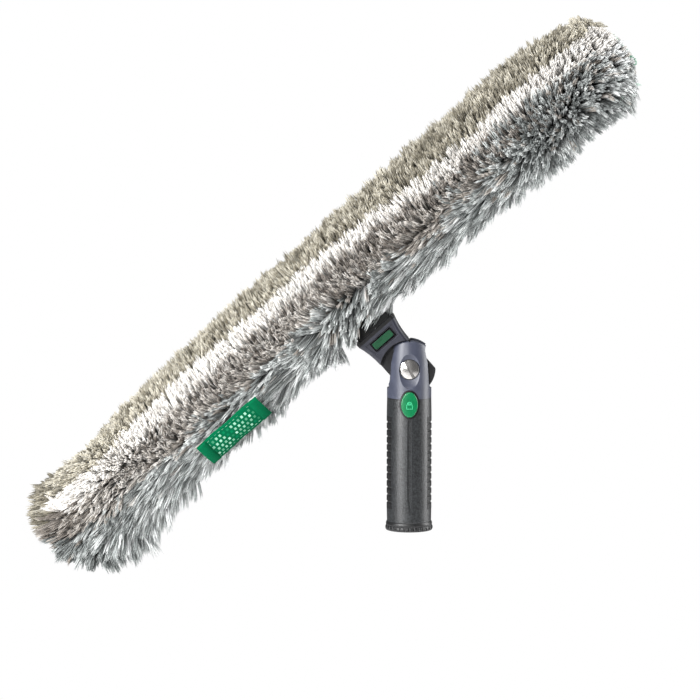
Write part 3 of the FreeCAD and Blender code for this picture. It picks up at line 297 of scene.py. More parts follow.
@dataclass(frozen=True)
class TurnedMetal:
    """Steel or brass turned on a lathe: fine rings round the bolt's axis catch the light."""

    name: str
    colour: str
    stain: str
    roughness: float
    stain_mm: float = 2.5
    rough_spread: Pair = (-0.06, 0.10)
    ring_mm: float = 0.45
    ring_depth_mm: float = 0.012
    axis_height: float = PIVOT_HEIGHT

    def material(self) -> Material:
        """Build the material: turning rings in the bump, a slow stain in the colour and the gloss."""
        material, tree, shader = new_material(self.name)
        place = add_node(tree, "TexCoord").outputs["Object"]
        about_axis = add_node(tree, "Mapping", {
            "Vector": place, "Location": (0, 0, -self.axis_height)}).outputs[0]
        rings = add_lines(tree, about_axis, self.ring_mm, distortion=0.6, detail=1.0,
                          wave_type="RINGS", rings_direction="Y")
        patch = add_noise(tree, place, self.stain_mm, detail=5.0, roughness=0.65)
        smoothest, roughest = (self.roughness + spread for spread in self.rough_spread)
        set_inputs(tree, shader, {
            "Base Color": mix_colours(tree, patch, linear(self.colour), linear(self.stain)),
            "Roughness": add_range(tree, patch, end=(smoothest, roughest)),
            "Normal": add_bump(tree, rings, self.ring_depth_mm),
            "Metallic": 1.0})
        return material


class PileTone(Enum):
    """The yarns of the pile: each one's middle on the colour ramp, and its dark, mean and pale dye."""

    OLIVE = (0.10, "#807a6a", "#b5af9f", "#e6e2d6")
    TAUPE = (0.30, "#8a827a", "#beb8b1", "#e8e5e1")
    STEEL = (0.50, "#8a8f8e", "#c0c4c3", "#e8eae9")
    FRINGE = (0.70, "#c0c5c4", "#dfe2e1", "#f6f7f7")
    WHITE = (0.90, "#e9e6e2", "#f2f0ed", "#faf9f7")
    MINT = (0.99, "#7fc3a4", "#b4decb", "#dcf1e7")

    @property
    def middle(self) -> float:
        """The yarn's place on the ramp."""
        return self.value[0]

    def among(self, dye: Array) -> Array:
        """Tell which of some places on the ramp are this yarn's."""
        return np.isclose(dye, self.middle)


@dataclass(frozen=True)
class PileFibre:
    """Spun polyester pile: matt and downy, with painted shade that darkens it from the loose tips down
    to the roots.
    """

    name: str
    dyes: tuple[PileTone, ...]
    spread: float = 0.08
    sheen: float = 0.25
    through: float = 0.55
    # Painted shade up each strand: darkest at the root and clear at the tip.
    depths: tuple[tuple[float, str], ...] = (
        (0.0, "#a0a0a0"), (0.5, "#c4c4c4"), (0.8, "#f4f4f4"), (1.0, "#ffffff"))

    def material(self) -> Material:
        """Build the material: across the map lies the dye, and up the map the way from root to tip,
        along which shade is painted.
        """
        material, tree, shader = new_material(self.name)
        place = add_node(tree, "UVMap", uv_map=FIBRE_MAP)
        apart = add_node(tree, "SeparateXYZ", {"Vector": place.outputs["UV"]})
        stops = []
        for dye in self.dyes:
            middle, dark, mean, pale = dye.value
            stops += [(middle - self.spread, dark), (middle, mean), (middle + self.spread, pale)]
        dyed = add_node(tree, "ValToRGB", {"Fac": apart.outputs["X"]}, stops=stops)
        # Painted shade: the dyed colour is darkened towards the roots.
        depth = add_node(tree, "ValToRGB", {"Fac": apart.outputs["Y"]}, stops=list(self.depths))
        colour = mix_colours(tree, 1.0, dyed.outputs["Color"], depth.outputs["Color"], "MULTIPLY")
        set_inputs(tree, shader, {
            "Base Color": colour, "Roughness": 0.75, "Specular IOR Level": 0.3,
            "Sheen Weight": self.sheen, "Sheen Roughness": 0.5})
        glow = add_node(tree, "BsdfTranslucent", {"Color": colour})
        both = add_node(tree, "MixShader", {
            "Fac": self.through, 1: shader.outputs["BSDF"], 2: glow.outputs["BSDF"]})
        set_inputs(tree, tree.get_output_node("ALL"), {"Surface": both.outputs[0]})
        return material


@dataclass(frozen=True)
class KnitCloth:
    """Knitted or woven cloth: two crossing sets of threads, coarse enough to show in the render."""

    name: str
    colour: str
    shadow: str
    thread_mm: float
    thread_depth_mm: float

    def material(self) -> Material:
        """Build the material: crossing waves for the threads, with a fuzz of noise over them."""
        material, tree, shader = new_material(self.name)
        place = add_node(tree, "TexCoord").outputs["Object"]
        waves = [add_lines(tree, place, self.thread_mm, distortion=1.5, bands_direction=way)
                 for way in "XZ"]
        fuzz = add_noise(tree, place, self.thread_mm / 2, detail=4.0)
        height = add_sum(tree, "MULTIPLY", add_sum(tree, "MAXIMUM", *waves), fuzz)
        set_inputs(tree, shader, {
            "Base Color": mix_colours(tree, height, linear(self.shadow), linear(self.colour)),
            "Normal": add_bump(tree, height, self.thread_depth_mm),
            "Roughness": 0.9, "Sheen Weight": 0.3})
        return material


@dataclass(frozen=True)
class WovenRibbon:
    """Damask ribbon: matt green weft over a fine warp, with rows of small plain ticks woven in."""

    name: str
    colour: str
    shadow: str
    tick: str
    thread_mm: float = 0.55
    thread_depth_mm: float = 0.12
    tick_mm: Pair = (3.0, 3.4)
    tick_shift: float = 0.37
    tick_bias: float = 0.1
    gap_mm: float = 0.8
    ticked: Pair = (0.36, 0.40)
    length_mm: float = 48.0
    width_mm: float = 20.0

    def material(self) -> Material:
        """Build the material on the ribbon's own map, which runs from nought to one each way."""
        material, tree, shader = new_material(self.name)
        place = add_node(tree, "UVMap", uv_map=RIBBON_MAP).outputs["UV"]
        real = add_node(tree, "Mapping", {
            "Vector": place, "Scale": (self.length_mm * MM, self.width_mm * MM, 1.0)}).outputs[0]
        threads = [add_lines(tree, real, self.thread_mm, distortion=0.4, bands_direction=way)
                   for way in "XY"]
        height = add_sum(tree, "MULTIPLY", *threads)
        ground = mix_colours(tree, height, linear(self.shadow), linear(self.colour))
        ticks = add_node(tree, "TexBrick", {
            "Vector": real, "Scale": 1.0, "Brick Width": self.tick_mm[0] * MM,
            "Row Height": self.tick_mm[1] * MM, "Mortar Size": self.gap_mm * MM,
            "Bias": self.tick_bias, "Color1": linear(self.tick), "Color2": linear(self.colour),
            "Mortar": ground}, offset=self.tick_shift)
        inside = add_node(tree, "SeparateXYZ", {"Vector": place})
        spans = [add_sum(tree, "COMPARE", inside.outputs[axis], 0.5, half)
                 for axis, half in zip("XY", self.ticked)]
        both = add_sum(tree, "MULTIPLY", *spans)
        set_inputs(tree, shader, {
            "Base Color": mix_colours(tree, both, ground, ticks.outputs["Color"]),
            "Normal": add_bump(tree, height, self.thread_depth_mm),
            "Roughness": 0.9, "Specular IOR Level": 0.05})
        return material


# The fork gets a painted shadow line in its seam with the grip.
FORK_NYLON = SeamShadedNylon("moulded_nylon_slate", "#363946", "#30333f", "#4e5362", 0.40, 0.7, 0.02)
# The neck's recess round the bolt gets painted shade in a near-black colour.
NECK_NYLON = RecessShadedNylon(
    "moulded_nylon_dark_slate", "#1e1f29", "#1a1b23", "#363946", 0.40, 0.7, 0.02, shade="#0b0b0f")
GRIP_SKIN = MouldedPlastic(
    "soft_touch_grip", "#27292b", "#0a0b0c", "#2d2f32", 0.36, 0.6, 0.12, mottle_mm=1.3)
GRIP_RUBBER = MouldedPlastic(
    "ribbed_rubber", "#0d0e0f", "#0a0a0b", "#1b1c1e", 0.5, 0.6, 0.04, specular=0.3)
FOOT_RUBBER = MouldedPlastic("foot_rubber", "#101112", "#0d0d0e", "#2a2c2f", 0.42, 0.7, 0.03)
BLACK_ABS = MouldedPlastic(
    "moulded_abs_black", "#060607", "#050506", "#141517", 0.45, 0.7, 0.02, specular=0.25)
BUTTON_ABS = MouldedPlastic(
    "moulded_abs_green", "#006138", "#005732", "#0a8450", 0.25, 0.9, 0.005, coat=0.25, specular=0.3)
SIGN_ABS = MouldedPlastic(
    "moulded_sign_green", "#1c9a66", "#188f5d", "#52c294", 0.25, 0.9, 0.005, coat=0.5)
BADGE_ABS = MouldedPlastic(
    "moulded_badge_green", "#02381f", "#02301a", "#0c5c39", 0.3, 0.9, 0.005, coat=0.3)
WASHER_NYLON = MouldedPlastic("natural_nylon", "#d8d5cb", "#c9c5b9", "#e8e6df", 0.5, 0.6, 0.02)
BOLT_STEEL = TurnedMetal("turned_stainless_steel", "#c9c6c3", "#a5a2a0", 0.2)
SPRING_STEEL = TurnedMetal("rolled_spring_steel", "#9a9a9c", "#77777a", 0.35)
BUSH_BRASS = TurnedMetal("turned_brass", "#c9a55c", "#a98545", 0.3)
PILE = PileFibre("spun_polyester_pile", tuple(PileTone)[:5])
SCRUB_FIBRE = PileFibre("scrub_pad_fibre", (PileTone.MINT,), spread=0.01)
BACKING_KNIT = KnitCloth("knitted_backing", "#d6d4cf", "#a19f99", 1.2, 0.25)
SCRUB_FELT = KnitCloth("needled_scrub_felt", "#2f9368", "#14573b", 1.6, 0.5)
TAPE_WEAVE = KnitCloth("woven_tape", "#2c2d30", "#141516", 0.7, 0.2)
LABEL_RIBBON = WovenRibbon("woven_label_ribbon", "#006b45", "#004d30", "#a9dcc4")


def place_piece(
    bm: WorkMesh,
    name: str,
    material: Material,
    body: str,
    matrix: Matrix,
    smooth: bool = True,
) -> Piece:
    """Turn a worked mesh into a piece at its place, riding on a body.

    Args:
        bm: The worked mesh, which is freed.
        name: The piece's name.
        material: Its finish.
        body: The body that carries it.
        matrix: From the mesh's own frame to the object's frame.
        smooth: Whether its faces are shaded round.

    Returns:
        The piece, at the origin, with its place in its mesh.
    """
    bmesh.ops.transform(bm, matrix=matrix, verts=bm.verts[:])
    bmesh.ops.recalc_face_normals(bm, faces=bm.faces[:])
    mesh = finish_mesh(bm, name)
    for polygon in mesh.polygons:
        polygon.use_smooth = smooth
    return add_piece(mesh, name, material, body)


def finish_mesh(bm: WorkMesh, name: str) -> bpy.types.Mesh:
    """Turn a worked mesh into a mesh of that name, and free it."""
    mesh = bpy.data.meshes.new(name)
    bm.to_mesh(mesh)
    bm.free()
    return mesh


def add_object(name: str, data: bpy.types.ID) -> Piece:
    """Put an object with that data in the scene."""
    made = bpy.data.objects.new(name, data)
    bpy.context.scene.collection.objects.link(made)
    return made


def add_piece(mesh: bpy.types.Mesh, name: str, material: Material, body: str) -> Piece:
    """Show a finished mesh as a piece.

    Args:
        mesh: The mesh, with its place in it.
        name: The piece's name.
        material: Its finish.
        body: The body that carries it.

    Returns:
        The piece.
    """
    mesh.materials.clear()
    mesh.materials.append(material)
    piece = add_object(name, mesh)
    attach(piece, body)
    LOG.info("%s: %d faces on %s", name, len(mesh.polygons), body)
    return piece


def thicken(piece: Piece, thickness: float, offset: float = 0.0) -> None:
    """Give a piece of cloth or sheet its thickness.

    Args:
        piece: The piece.
        thickness: How thick it gets.
        offset: Minus one to thicken it inwards, nought to both sides.
    """
    thick = piece.modifiers.new("thickness", "SOLIDIFY")
    thick.thickness = thickness
    thick.offset = offset


def cut_through(bm: WorkMesh, spot: Any, normal: Any, **settings: bool) -> None:
    """Cut a worked mesh along a plane, and clear away what the settings say."""
    whole = bm.verts[:] + bm.edges[:] + bm.faces[:]
    bmesh.ops.bisect_plane(bm, geom=whole, plane_co=spot, plane_no=normal, **settings)


def points_among(geometry: list[Any]) -> list[bmesh.types.BMVert]:
    """Return the points among some parts of a mesh."""
    return [part for part in geometry if isinstance(part, bmesh.types.BMVert)]


def raise_faces(bm: WorkMesh) -> list[bmesh.types.BMVert]:
    """Extrude all the faces on the spot, and return the new points."""
    return points_among(bmesh.ops.extrude_face_region(bm, geom=bm.faces[:])["geom"])


def round_edges(bm: WorkMesh, edges: list[Any], radius: float, segments: int) -> None:
    """Round some edges of a worked mesh in that many steps."""
    bmesh.ops.bevel(bm, geom=edges, offset=radius, segments=segments, profile=0.5, material=-1,
                    affect="EDGES")


def unit(vectors: Array) -> Array:
    """Return the vectors with a length of one."""
    return vectors / np.maximum(np.linalg.norm(vectors, axis=-1, keepdims=True), 1e-12)


def smooth_step(low: float, high: float, values: Array) -> Array:
    """Return a soft step that is nought below low and one above high."""
    share = np.clip((values - low) / (high - low), 0.0, 1.0)
    return share * share * (3 - 2 * share)


def between(ends: Pair, share: Array) -> Array:
    """Return the values that lie at these shares of the way from one end to the other."""
    return ends[0] + (ends[1] - ends[0]) * share


@dataclass(frozen=True)
class HeadFrame:
    """The frame of the tilted washer head: along the bar, to the back, and up from the swivel bolt."""

    pivot_height: float = PIVOT_HEIGHT
    tilt: float = math.radians(41.5)
    bar_middle: float = 69 * MM

    def matrix(self, along: float = 0.0, back: float = 0.0, up: float = 0.0) -> Matrix:
        """Return the way from a place on the head to the object's frame.

        Args:
            along: Distance along the bar.
            back: Distance towards the back.
            up: Distance up from the bolt.

        Returns:
            The matrix.
        """
        bolt = Matrix.Translation((0, 0, self.pivot_height))
        turn = Matrix.Rotation(-self.tilt, 4, "Y")
        return bolt @ turn @ Matrix.Translation((along, back, up))

    def points(self, local: Array) -> Array:
        """Return points of the head in the object's frame."""
        return self.turned(local) + np.array(self.matrix())[:3, 3]

    def turned(self, local: Array) -> Array:
        """Return directions and lengths of the head in the object's frame."""
        return local @ np.array(self.matrix())[:3, :3].T


@dataclass
class Bundle:
    """Arrays of the same length, one for each field."""

    def part(self, chosen: Array) -> Self:
        """Return some of the rows."""
        return type(self)(*(array[chosen] for array in vars(self).values()))

    @classmethod
    def joined(cls, *bundles: Self) -> Self:
        """Return several bundles as one."""
        rows = zip(*(vars(bundle).values() for bundle in bundles))
        return cls(*(np.concatenate(arrays) for arrays in rows))


@dataclass
class Clumps(Bundle):
    """Clumps of pile: places along the bar and round the sleeve, roots and outward directions."""

    along: Array
    way: Array
    root: Array
    normal: Array


@dataclass
class Strands(Bundle):
    """Fibres by the thousand: root, way to go, bend, radius, dye and how much of the painted shade at
    the root is lifted.
    """

    root: Array
    lift: Array
    bend: Array
    radius: Array
    dye: Array
    # How much of the painted root shade is lifted: nought keeps all of it, one lifts all of it.
    pale: Array

    @property
    def tip(self) -> Array:
        """The loose ends."""
        return self.root + self.lift + self.bend


@dataclass
class FibrePlanter:
    """Plants copies of one three-sided spike along the lines of the strands."""

    rings: Row = (0.45, 0.88)
    ring_widths: Row = (0.75, 1.0, 0.8, 0.0)
    map_width: float = 0.006
    map_margin: float = 0.01

    def spike(self) -> bpy.types.Mesh:
        """Return the spike: a three-sided prism of unit height, ringed twice and drawn to a point."""
        bm = bmesh.new()
        bmesh.ops.create_cone(bm, cap_ends=True, segments=3, radius1=1.0, radius2=1.0, depth=1.0)
        bmesh.ops.translate(bm, verts=bm.verts[:], vec=(0, 0, 0.5))
        for height in self.rings:
            cut_through(bm, (0, 0, height), (0, 0, 1))
        top = [v for v in bm.verts if v.co.z > max(self.rings) + 0.1]
        bmesh.ops.pointmerge(bm, verts=top, merge_co=(0, 0, 1))
        bmesh.ops.recalc_face_normals(bm, faces=bm.faces[:])
        bm.loops.layers.uv.new(FIBRE_MAP)
        return finish_mesh(bm, "spike")

    def row(self, count: int) -> bpy.types.Mesh:
        """Return a mesh of that many spikes, one after the other."""
        holder = add_object("spike_row", self.spike())
        array = holder.modifiers.new("row", "ARRAY")
        array.count = count
        mesh = bpy.data.meshes.new_from_object(
            holder.evaluated_get(bpy.context.evaluated_depsgraph_get()))
        bpy.data.objects.remove(holder)
        return mesh

    def plant(self, strands: Strands, rng: np.random.Generator) -> bpy.types.Mesh:
        """Plant a spike for each strand.

        Args:
            strands: The strands, in the object's frame.
            rng: The seeded source of chance.

        Returns:
            The mesh of all the spikes, with its map of dye and height.
        """
        count = len(strands.root)
        mesh = self.row(count)
        spots = np.empty(len(mesh.vertices) * 3, np.float32)
        mesh.vertices.foreach_get("co", spots)
        spike = spots.reshape(count, -1, 3)[0].astype(float)
        height = spike[:, 2][None, :, None]
        widths = np.interp(spike[:, 2], (0.0, *self.rings, 1.0), self.ring_widths)[None, :, None]
        root, lift, bend = (part[:, None] for part in (strands.root, strands.lift, strands.bend))
        line = root + lift * height + bend * height ** 2
        along = unit(lift + 2 * bend * height)
        aside = unit(rng.normal(size=(count, 1, 3)))
        across = unit(np.cross(along, aside))
        over = np.cross(along, across)
        girth = strands.radius[:, None, None] * widths
        places = line + girth * (across * spike[None, :, :1] + over * spike[None, :, 1:2])
        mesh.vertices.foreach_set("co", places.astype(np.float32).ravel())
        self.map_dye(mesh, strands, spike)
        mesh.polygons.foreach_set("use_smooth", np.ones(len(mesh.polygons), bool))
        mesh.update()
        return mesh

    def map_dye(self, mesh: bpy.types.Mesh, strands: Strands, spike: Array) -> None:
        """Write the map: the dye runs across it, and the height on the spike runs up it.

        Args:
            mesh: The planted mesh.
            strands: Its strands.
            spike: The points of one spike.
        """
        corner = np.empty(len(mesh.loops), np.int32)
        mesh.loops.foreach_get("vertex_index", corner)
        which, point = corner // len(spike), corner % len(spike)
        across = strands.dye[which] + self.map_width * spike[point, 0]
        # The strand's pale value moves the start of the painted root shade up the ramp.
        start = strands.pale[which]
        height = start + (1 - start) * spike[point, 2]
        upward = between((self.map_margin, 1 - self.map_margin), height)
        upward += self.map_width * spike[point, 1]
        layer = mesh.uv_layers.get(FIBRE_MAP) or mesh.uv_layers.new(name=FIBRE_MAP)
        layer.data.foreach_set("uv", np.stack([across, upward], 1).astype(np.float32).ravel())


@dataclass
class SleeveLabel:
    """The woven label on the sleeve's lower front: a ribbon with both ends folded over its face."""

    head: HeadFrame
    length: float = 48 * MM
    width: float = 20 * MM
    hem: float = 6 * MM
    fold_gap: float = 0.7 * MM
    thickness: float = 0.4 * MM
    offset: float = -107 * MM
    lean: float = math.radians(39)
    round_middle: float = 61.5 * MM
    reach: float = 27.6 * MM
    crown: float = 1.6 * MM
    wave_height: float = 0.35 * MM
    wave_paces: Pair = (260, 150)
    columns: int = 16
    rows: int = 12

    def matrix(self) -> Matrix:
        """Return the way from the label to the object's frame: x along it, y up it, z outwards."""
        out = Vector((0, -math.cos(self.lean), -math.sin(self.lean)))
        middle = out * self.reach + Vector((self.offset, 0, self.round_middle))
        up = Vector((0, -math.sin(self.lean), math.cos(self.lean)))
        turn = Matrix((Vector((1, 0, 0)), up, out)).transposed().to_4x4()
        return self.head.matrix() @ Matrix.Translation(middle) @ turn

    def bow(self, across: Any) -> Any:
        """Return how far the ribbon bows back round the pile, at a place or many places across it."""
        return -self.crown * (2 * across / self.width) ** 2

    def lift_at(self, along: float, across: float) -> float:
        """Return how far the ribbon stands off its flat place, bowed and a little wavy."""
        phase = along * self.wave_paces[0] + across * self.wave_paces[1]
        return self.bow(across) + self.wave_height * math.sin(phase)

    def path(self) -> list[Pair]:
        """Return the ribbon's edge from one hem to the other, as places along it and heights."""
        half = self.length / 2
        fold = [(-half + self.hem, self.fold_gap), (-half + self.hem / 2, self.fold_gap),
                (-half, self.fold_gap), (-half - self.fold_gap / 2, self.fold_gap / 2)]
        face = [(-half + self.length * i / self.columns, 0.0) for i in range(self.columns + 1)]
        return fold + face + [(-x, z) for x, z in reversed(fold)]

    def build(self) -> Piece:
        """Model the ribbon from one hem to the other and lay it on the pile."""
        bm = bmesh.new()
        edge = [bm.verts.new((x, -self.width / 2, z)) for x, z in self.path()]
        edges = [bm.edges.new(pair) for pair in zip(edge, edge[1:])]
        for _ in range(self.rows):
            made = bmesh.ops.extrude_edge_only(bm, edges=edges)["geom"]
            moved = points_among(made)
            bmesh.ops.translate(bm, verts=moved, vec=(0, self.width / self.rows, 0))
            edges = [g for g in made if isinstance(g, bmesh.types.BMEdge)
                     and all(v in moved for v in g.verts)]
        layer = bm.loops.layers.uv.new(RIBBON_MAP)
        for face in bm.faces:
            for loop in face.loops:
                spot = loop.vert.co
                loop[layer].uv = (spot.x / self.length + 0.5, spot.y / self.width + 0.5)
        for vert in bm.verts:
            vert.co.z += self.lift_at(vert.co.x, vert.co.y)
        label = place_piece(bm, "woven_label", LABEL_RIBBON.material(), WASHER_HEAD, self.matrix())
        thicken(label, self.thickness)
        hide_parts("sleeve_label")
        return label


@dataclass(frozen=True)
class SleeveShape:
    """The sizes of the sleeve's backing, and the way round its section."""

    half_depth: float = 13.0 * MM
    half_width: float = 20.5 * MM
    bar_half: float = 221 * MM
    left_cap: float = 8 * MM
    right_cap: float = 5 * MM
    mouth_half: float = 20.5 * MM
    mouth_depth: float = 8.5 * MM
    neck_reach: float = 26 * MM

    @property
    def half_flat(self) -> float:
        """Half the height of the backing's flat front."""
        return self.half_width - self.half_depth

    @property
    def girth(self) -> float:
        """The way round the backing."""
        return 2 * math.pi * self.half_depth + 4 * self.half_flat

    def in_mouth(self, along: Any, back: Any, up: Any) -> Any:
        """Tell whether a place, or each of many, lies in the backing's mouth for the stem."""
        return (up < 0) & (abs(along) < self.mouth_half) & (abs(back) < self.mouth_depth)

    def near_neck(self, along: Array) -> Array:
        """Return one at the neck and less to either side."""
        return np.exp(-(along / self.neck_reach) ** 2)

    def around(self, way: Array) -> tuple[Array, Array]:
        """Walk round the backing's section, from the front's middle downwards.

        Args:
            way: Distances round the section.

        Returns:
            The places and the outward directions there, as (back, up) pairs.
        """
        way = np.mod(way, self.girth)
        flat, bend = self.half_flat, math.pi * self.half_depth
        low = np.clip((way - flat) / bend, 0, 1) * math.pi
        high = np.clip((way - 3 * flat - bend) / bend, 0, 1) * math.pi
        turn = low + high
        out = np.stack([-np.cos(turn), -np.sin(turn)], 1)
        front = np.minimum(way, flat)
        back = np.clip(way - flat - bend, 0, 2 * flat)
        rest = np.clip(way - 3 * flat - 2 * bend, 0, flat)
        middle = -front + back - rest
        return out * self.half_depth + np.stack([np.zeros_like(middle), middle], 1), out

    def fall(self, way: Array) -> Array:
        """Return the way down from the middle of the front or the back, whichever is nearer, in mm."""
        half = self.girth / 2
        turned = np.mod(way + half, self.girth) - half
        down = np.where(np.abs(turned) < half / 2, turned, np.sign(turned) * (half - np.abs(turned)))
        return down / MM


@dataclass
class PileStep:
    """A step in making the pile, which knows the backing's shape and the seeded source of chance.

    In all the steps, rows and pairs that are named places, falls, ways, halves or depths, and the
    bounds of the stripes, are in millimetres. A fall runs down from the front's middle.
    """

    shape: SleeveShape
    rng: np.random.Generator

    def waves(self, along: Array, way: Array, lengths: Pair, count: int = 7) -> Array:
        """Return a gentle random field over the sleeve, about between minus one and one.

        Args:
            along: Distances along the bar.
            way: Distances round the sleeve.
            lengths: Shortest and longest wave.
            count: How many waves are added up.

        Returns:
            The field's values.
        """
        total = np.zeros_like(along)
        for _ in range(count):
            heading = self.rng.uniform(0, 2 * math.pi)
            pace = 2 * math.pi / self.rng.uniform(*lengths)
            phase = self.rng.uniform(0, 2 * math.pi)
            total += np.sin(pace * (along * math.cos(heading) + way * math.sin(heading)) + phase)
        return total / math.sqrt(count)


@dataclass
class ClumpPlan(PileStep):
    """Where the clumps of pile stand: evenly on the tube, and crowded on the ends."""

    gap: float = 2.4 * MM
    spacing_height: float = 9.0 * MM
    left_crowd: float = 4.5
    right_crowd: float = 9.0
    right_clear: float = 0.68

    def set_out(self) -> Clumps:
        """Set out the clumps on the tube and on both ends, but not in the mouth."""
        shape = self.shape
        flat, bend = shape.half_flat, math.pi * shape.half_depth
        wide = bend * (1 + self.spacing_height / shape.half_depth)
        columns = int(2 * shape.bar_half / self.gap)
        lines = int((4 * flat + 2 * wide) / self.gap)
        grid = np.stack(np.meshgrid(np.arange(columns), np.arange(lines)), -1).reshape(-1, 2)
        jitter = self.rng.uniform(0, 1, grid.shape)
        along = ((grid[:, 0] + jitter[:, 0]) / columns * 2 - 1) * shape.bar_half
        way = np.interp((grid[:, 1] + jitter[:, 1]) / lines * (4 * flat + 2 * wide),
                        np.cumsum((0, flat, wide, 2 * flat, wide, flat)),
                        np.cumsum((0, flat, bend, 2 * flat, bend, flat)))
        spots, out = shape.around(way)
        tube = Clumps(along, way, np.column_stack([along, spots]),
                      np.column_stack([np.zeros_like(along), out]))
        left = self.set_out_end(-1, shape.left_cap, 0.0, self.left_crowd)
        right = self.set_out_end(1, shape.right_cap, self.right_clear, self.right_crowd)
        clumps = Clumps.joined(tube, left, right)
        return clumps.part(~shape.in_mouth(*clumps.root.T))

    def set_out_end(self, side: int, cap: float, clear: float, crowd: float) -> Clumps:
        """Set out clumps on one end.

        Args:
            side: Minus one for the left end, one for the right.
            cap: How far the end bulges.
            clear: The share of the end's radius that stays free in its middle.
            crowd: How closely the clumps stand.

        Returns:
            The clumps.
        """
        shape = self.shape
        room = shape.half_depth * shape.half_width * (1 - clear ** 2)
        count = int(crowd * room / self.gap ** 2)
        share = np.sqrt(self.rng.uniform(clear ** 2, 1, count))
        way = self.rng.uniform(0, shape.girth, count)
        spots, out = shape.around(way)
        bulge = np.sqrt(1 - share ** 2)
        along = side * (shape.bar_half + cap * bulge)
        outward = np.column_stack([side * bulge / cap, out * (share / shape.half_depth)[:, None]])
        return Clumps(along, way, np.column_stack([along, spots * share[:, None]]), unit(outward))


@dataclass
class Combing(PileStep):
    """How the pile is combed: up above the seam, along below it, and outwards at the ends."""

    falls: Row = (-28, -20, -9, -3, 7, 13, 19, 24, 28)
    rises: Row = (0.0, 0.35, 0.85, 0.5, 0.6, 0.3, 0.5, 0.3, -0.1)
    drifts: Row = (0.2, 0.2, 0.15, 0.1, -0.2, -1.3, -1.7, -1.3, -0.4)
    seam_fall: float = 1.6
    seam_lengths: Pair = (50 * MM, 160 * MM)
    loose_falls: Pair = (6, 12)
    rise_strays: Pair = (0.10, 0.30)
    drift_strays: Pair = (0.12, 0.34)
    stray_lengths: Pair = (16 * MM, 50 * MM)
    right_part: Pair = (60 * MM, 180 * MM)
    right_calm: float = 0.9
    right_rise: float = 0.45
    right_top_falls: Pair = (0, 6)
    right_foot_falls: Pair = (20, 27)
    left_fan: Pair = (-0.3, -1.4)
    right_fan: Pair = (0.1, 0.8)
    fan_part: Pair = (0.7, 1.0)
    fan_calm: float = 0.7
    fan_falls: Pair = (16, 27)
    neck_drop: float = 0.9
    neck_calm: float = 0.35

    def lean(self, clumps: Clumps) -> Array:
        """Return the lean of each clump, against an upright of one.

        Args:
            clumps: The clumps.

        Returns:
            The leans, along the bar, to the back and up.
        """
        along, way = clumps.along, clumps.way
        fall = self.shape.fall(way) + self.seam_fall * self.waves(along, 0 * way, self.seam_lengths)
        loose = smooth_step(*self.loose_falls, fall)
        rise = np.interp(fall, self.falls, self.rises)
        drift = np.interp(fall, self.falls, self.drifts)
        rise += between(self.rise_strays, loose) * self.waves(along, way, self.stray_lengths)
        drift += between(self.drift_strays, loose) * self.waves(along, way, self.stray_lengths)
        right = smooth_step(*self.right_part, along)
        drift *= 1 - self.right_calm * loose * right
        right *= smooth_step(*self.right_top_falls, fall)
        right *= 1 - smooth_step(*self.right_foot_falls, fall)
        rise += right * (self.right_rise - rise)
        chance = self.rng.uniform(0, 1, len(along))
        fan = np.where(along < 0, between(self.left_fan, chance), between(self.right_fan, chance))
        fan *= 1 - self.fan_calm * smooth_step(*self.fan_falls, fall)
        end = smooth_step(*self.fan_part, np.abs(along) / self.shape.bar_half)
        drift = drift * (1 - end) + fan * end
        neck = self.shape.near_neck(along) * loose
        rise -= self.neck_drop * neck
        drift *= 1 - self.neck_calm * neck
        return np.column_stack([drift, np.zeros_like(drift), rise])


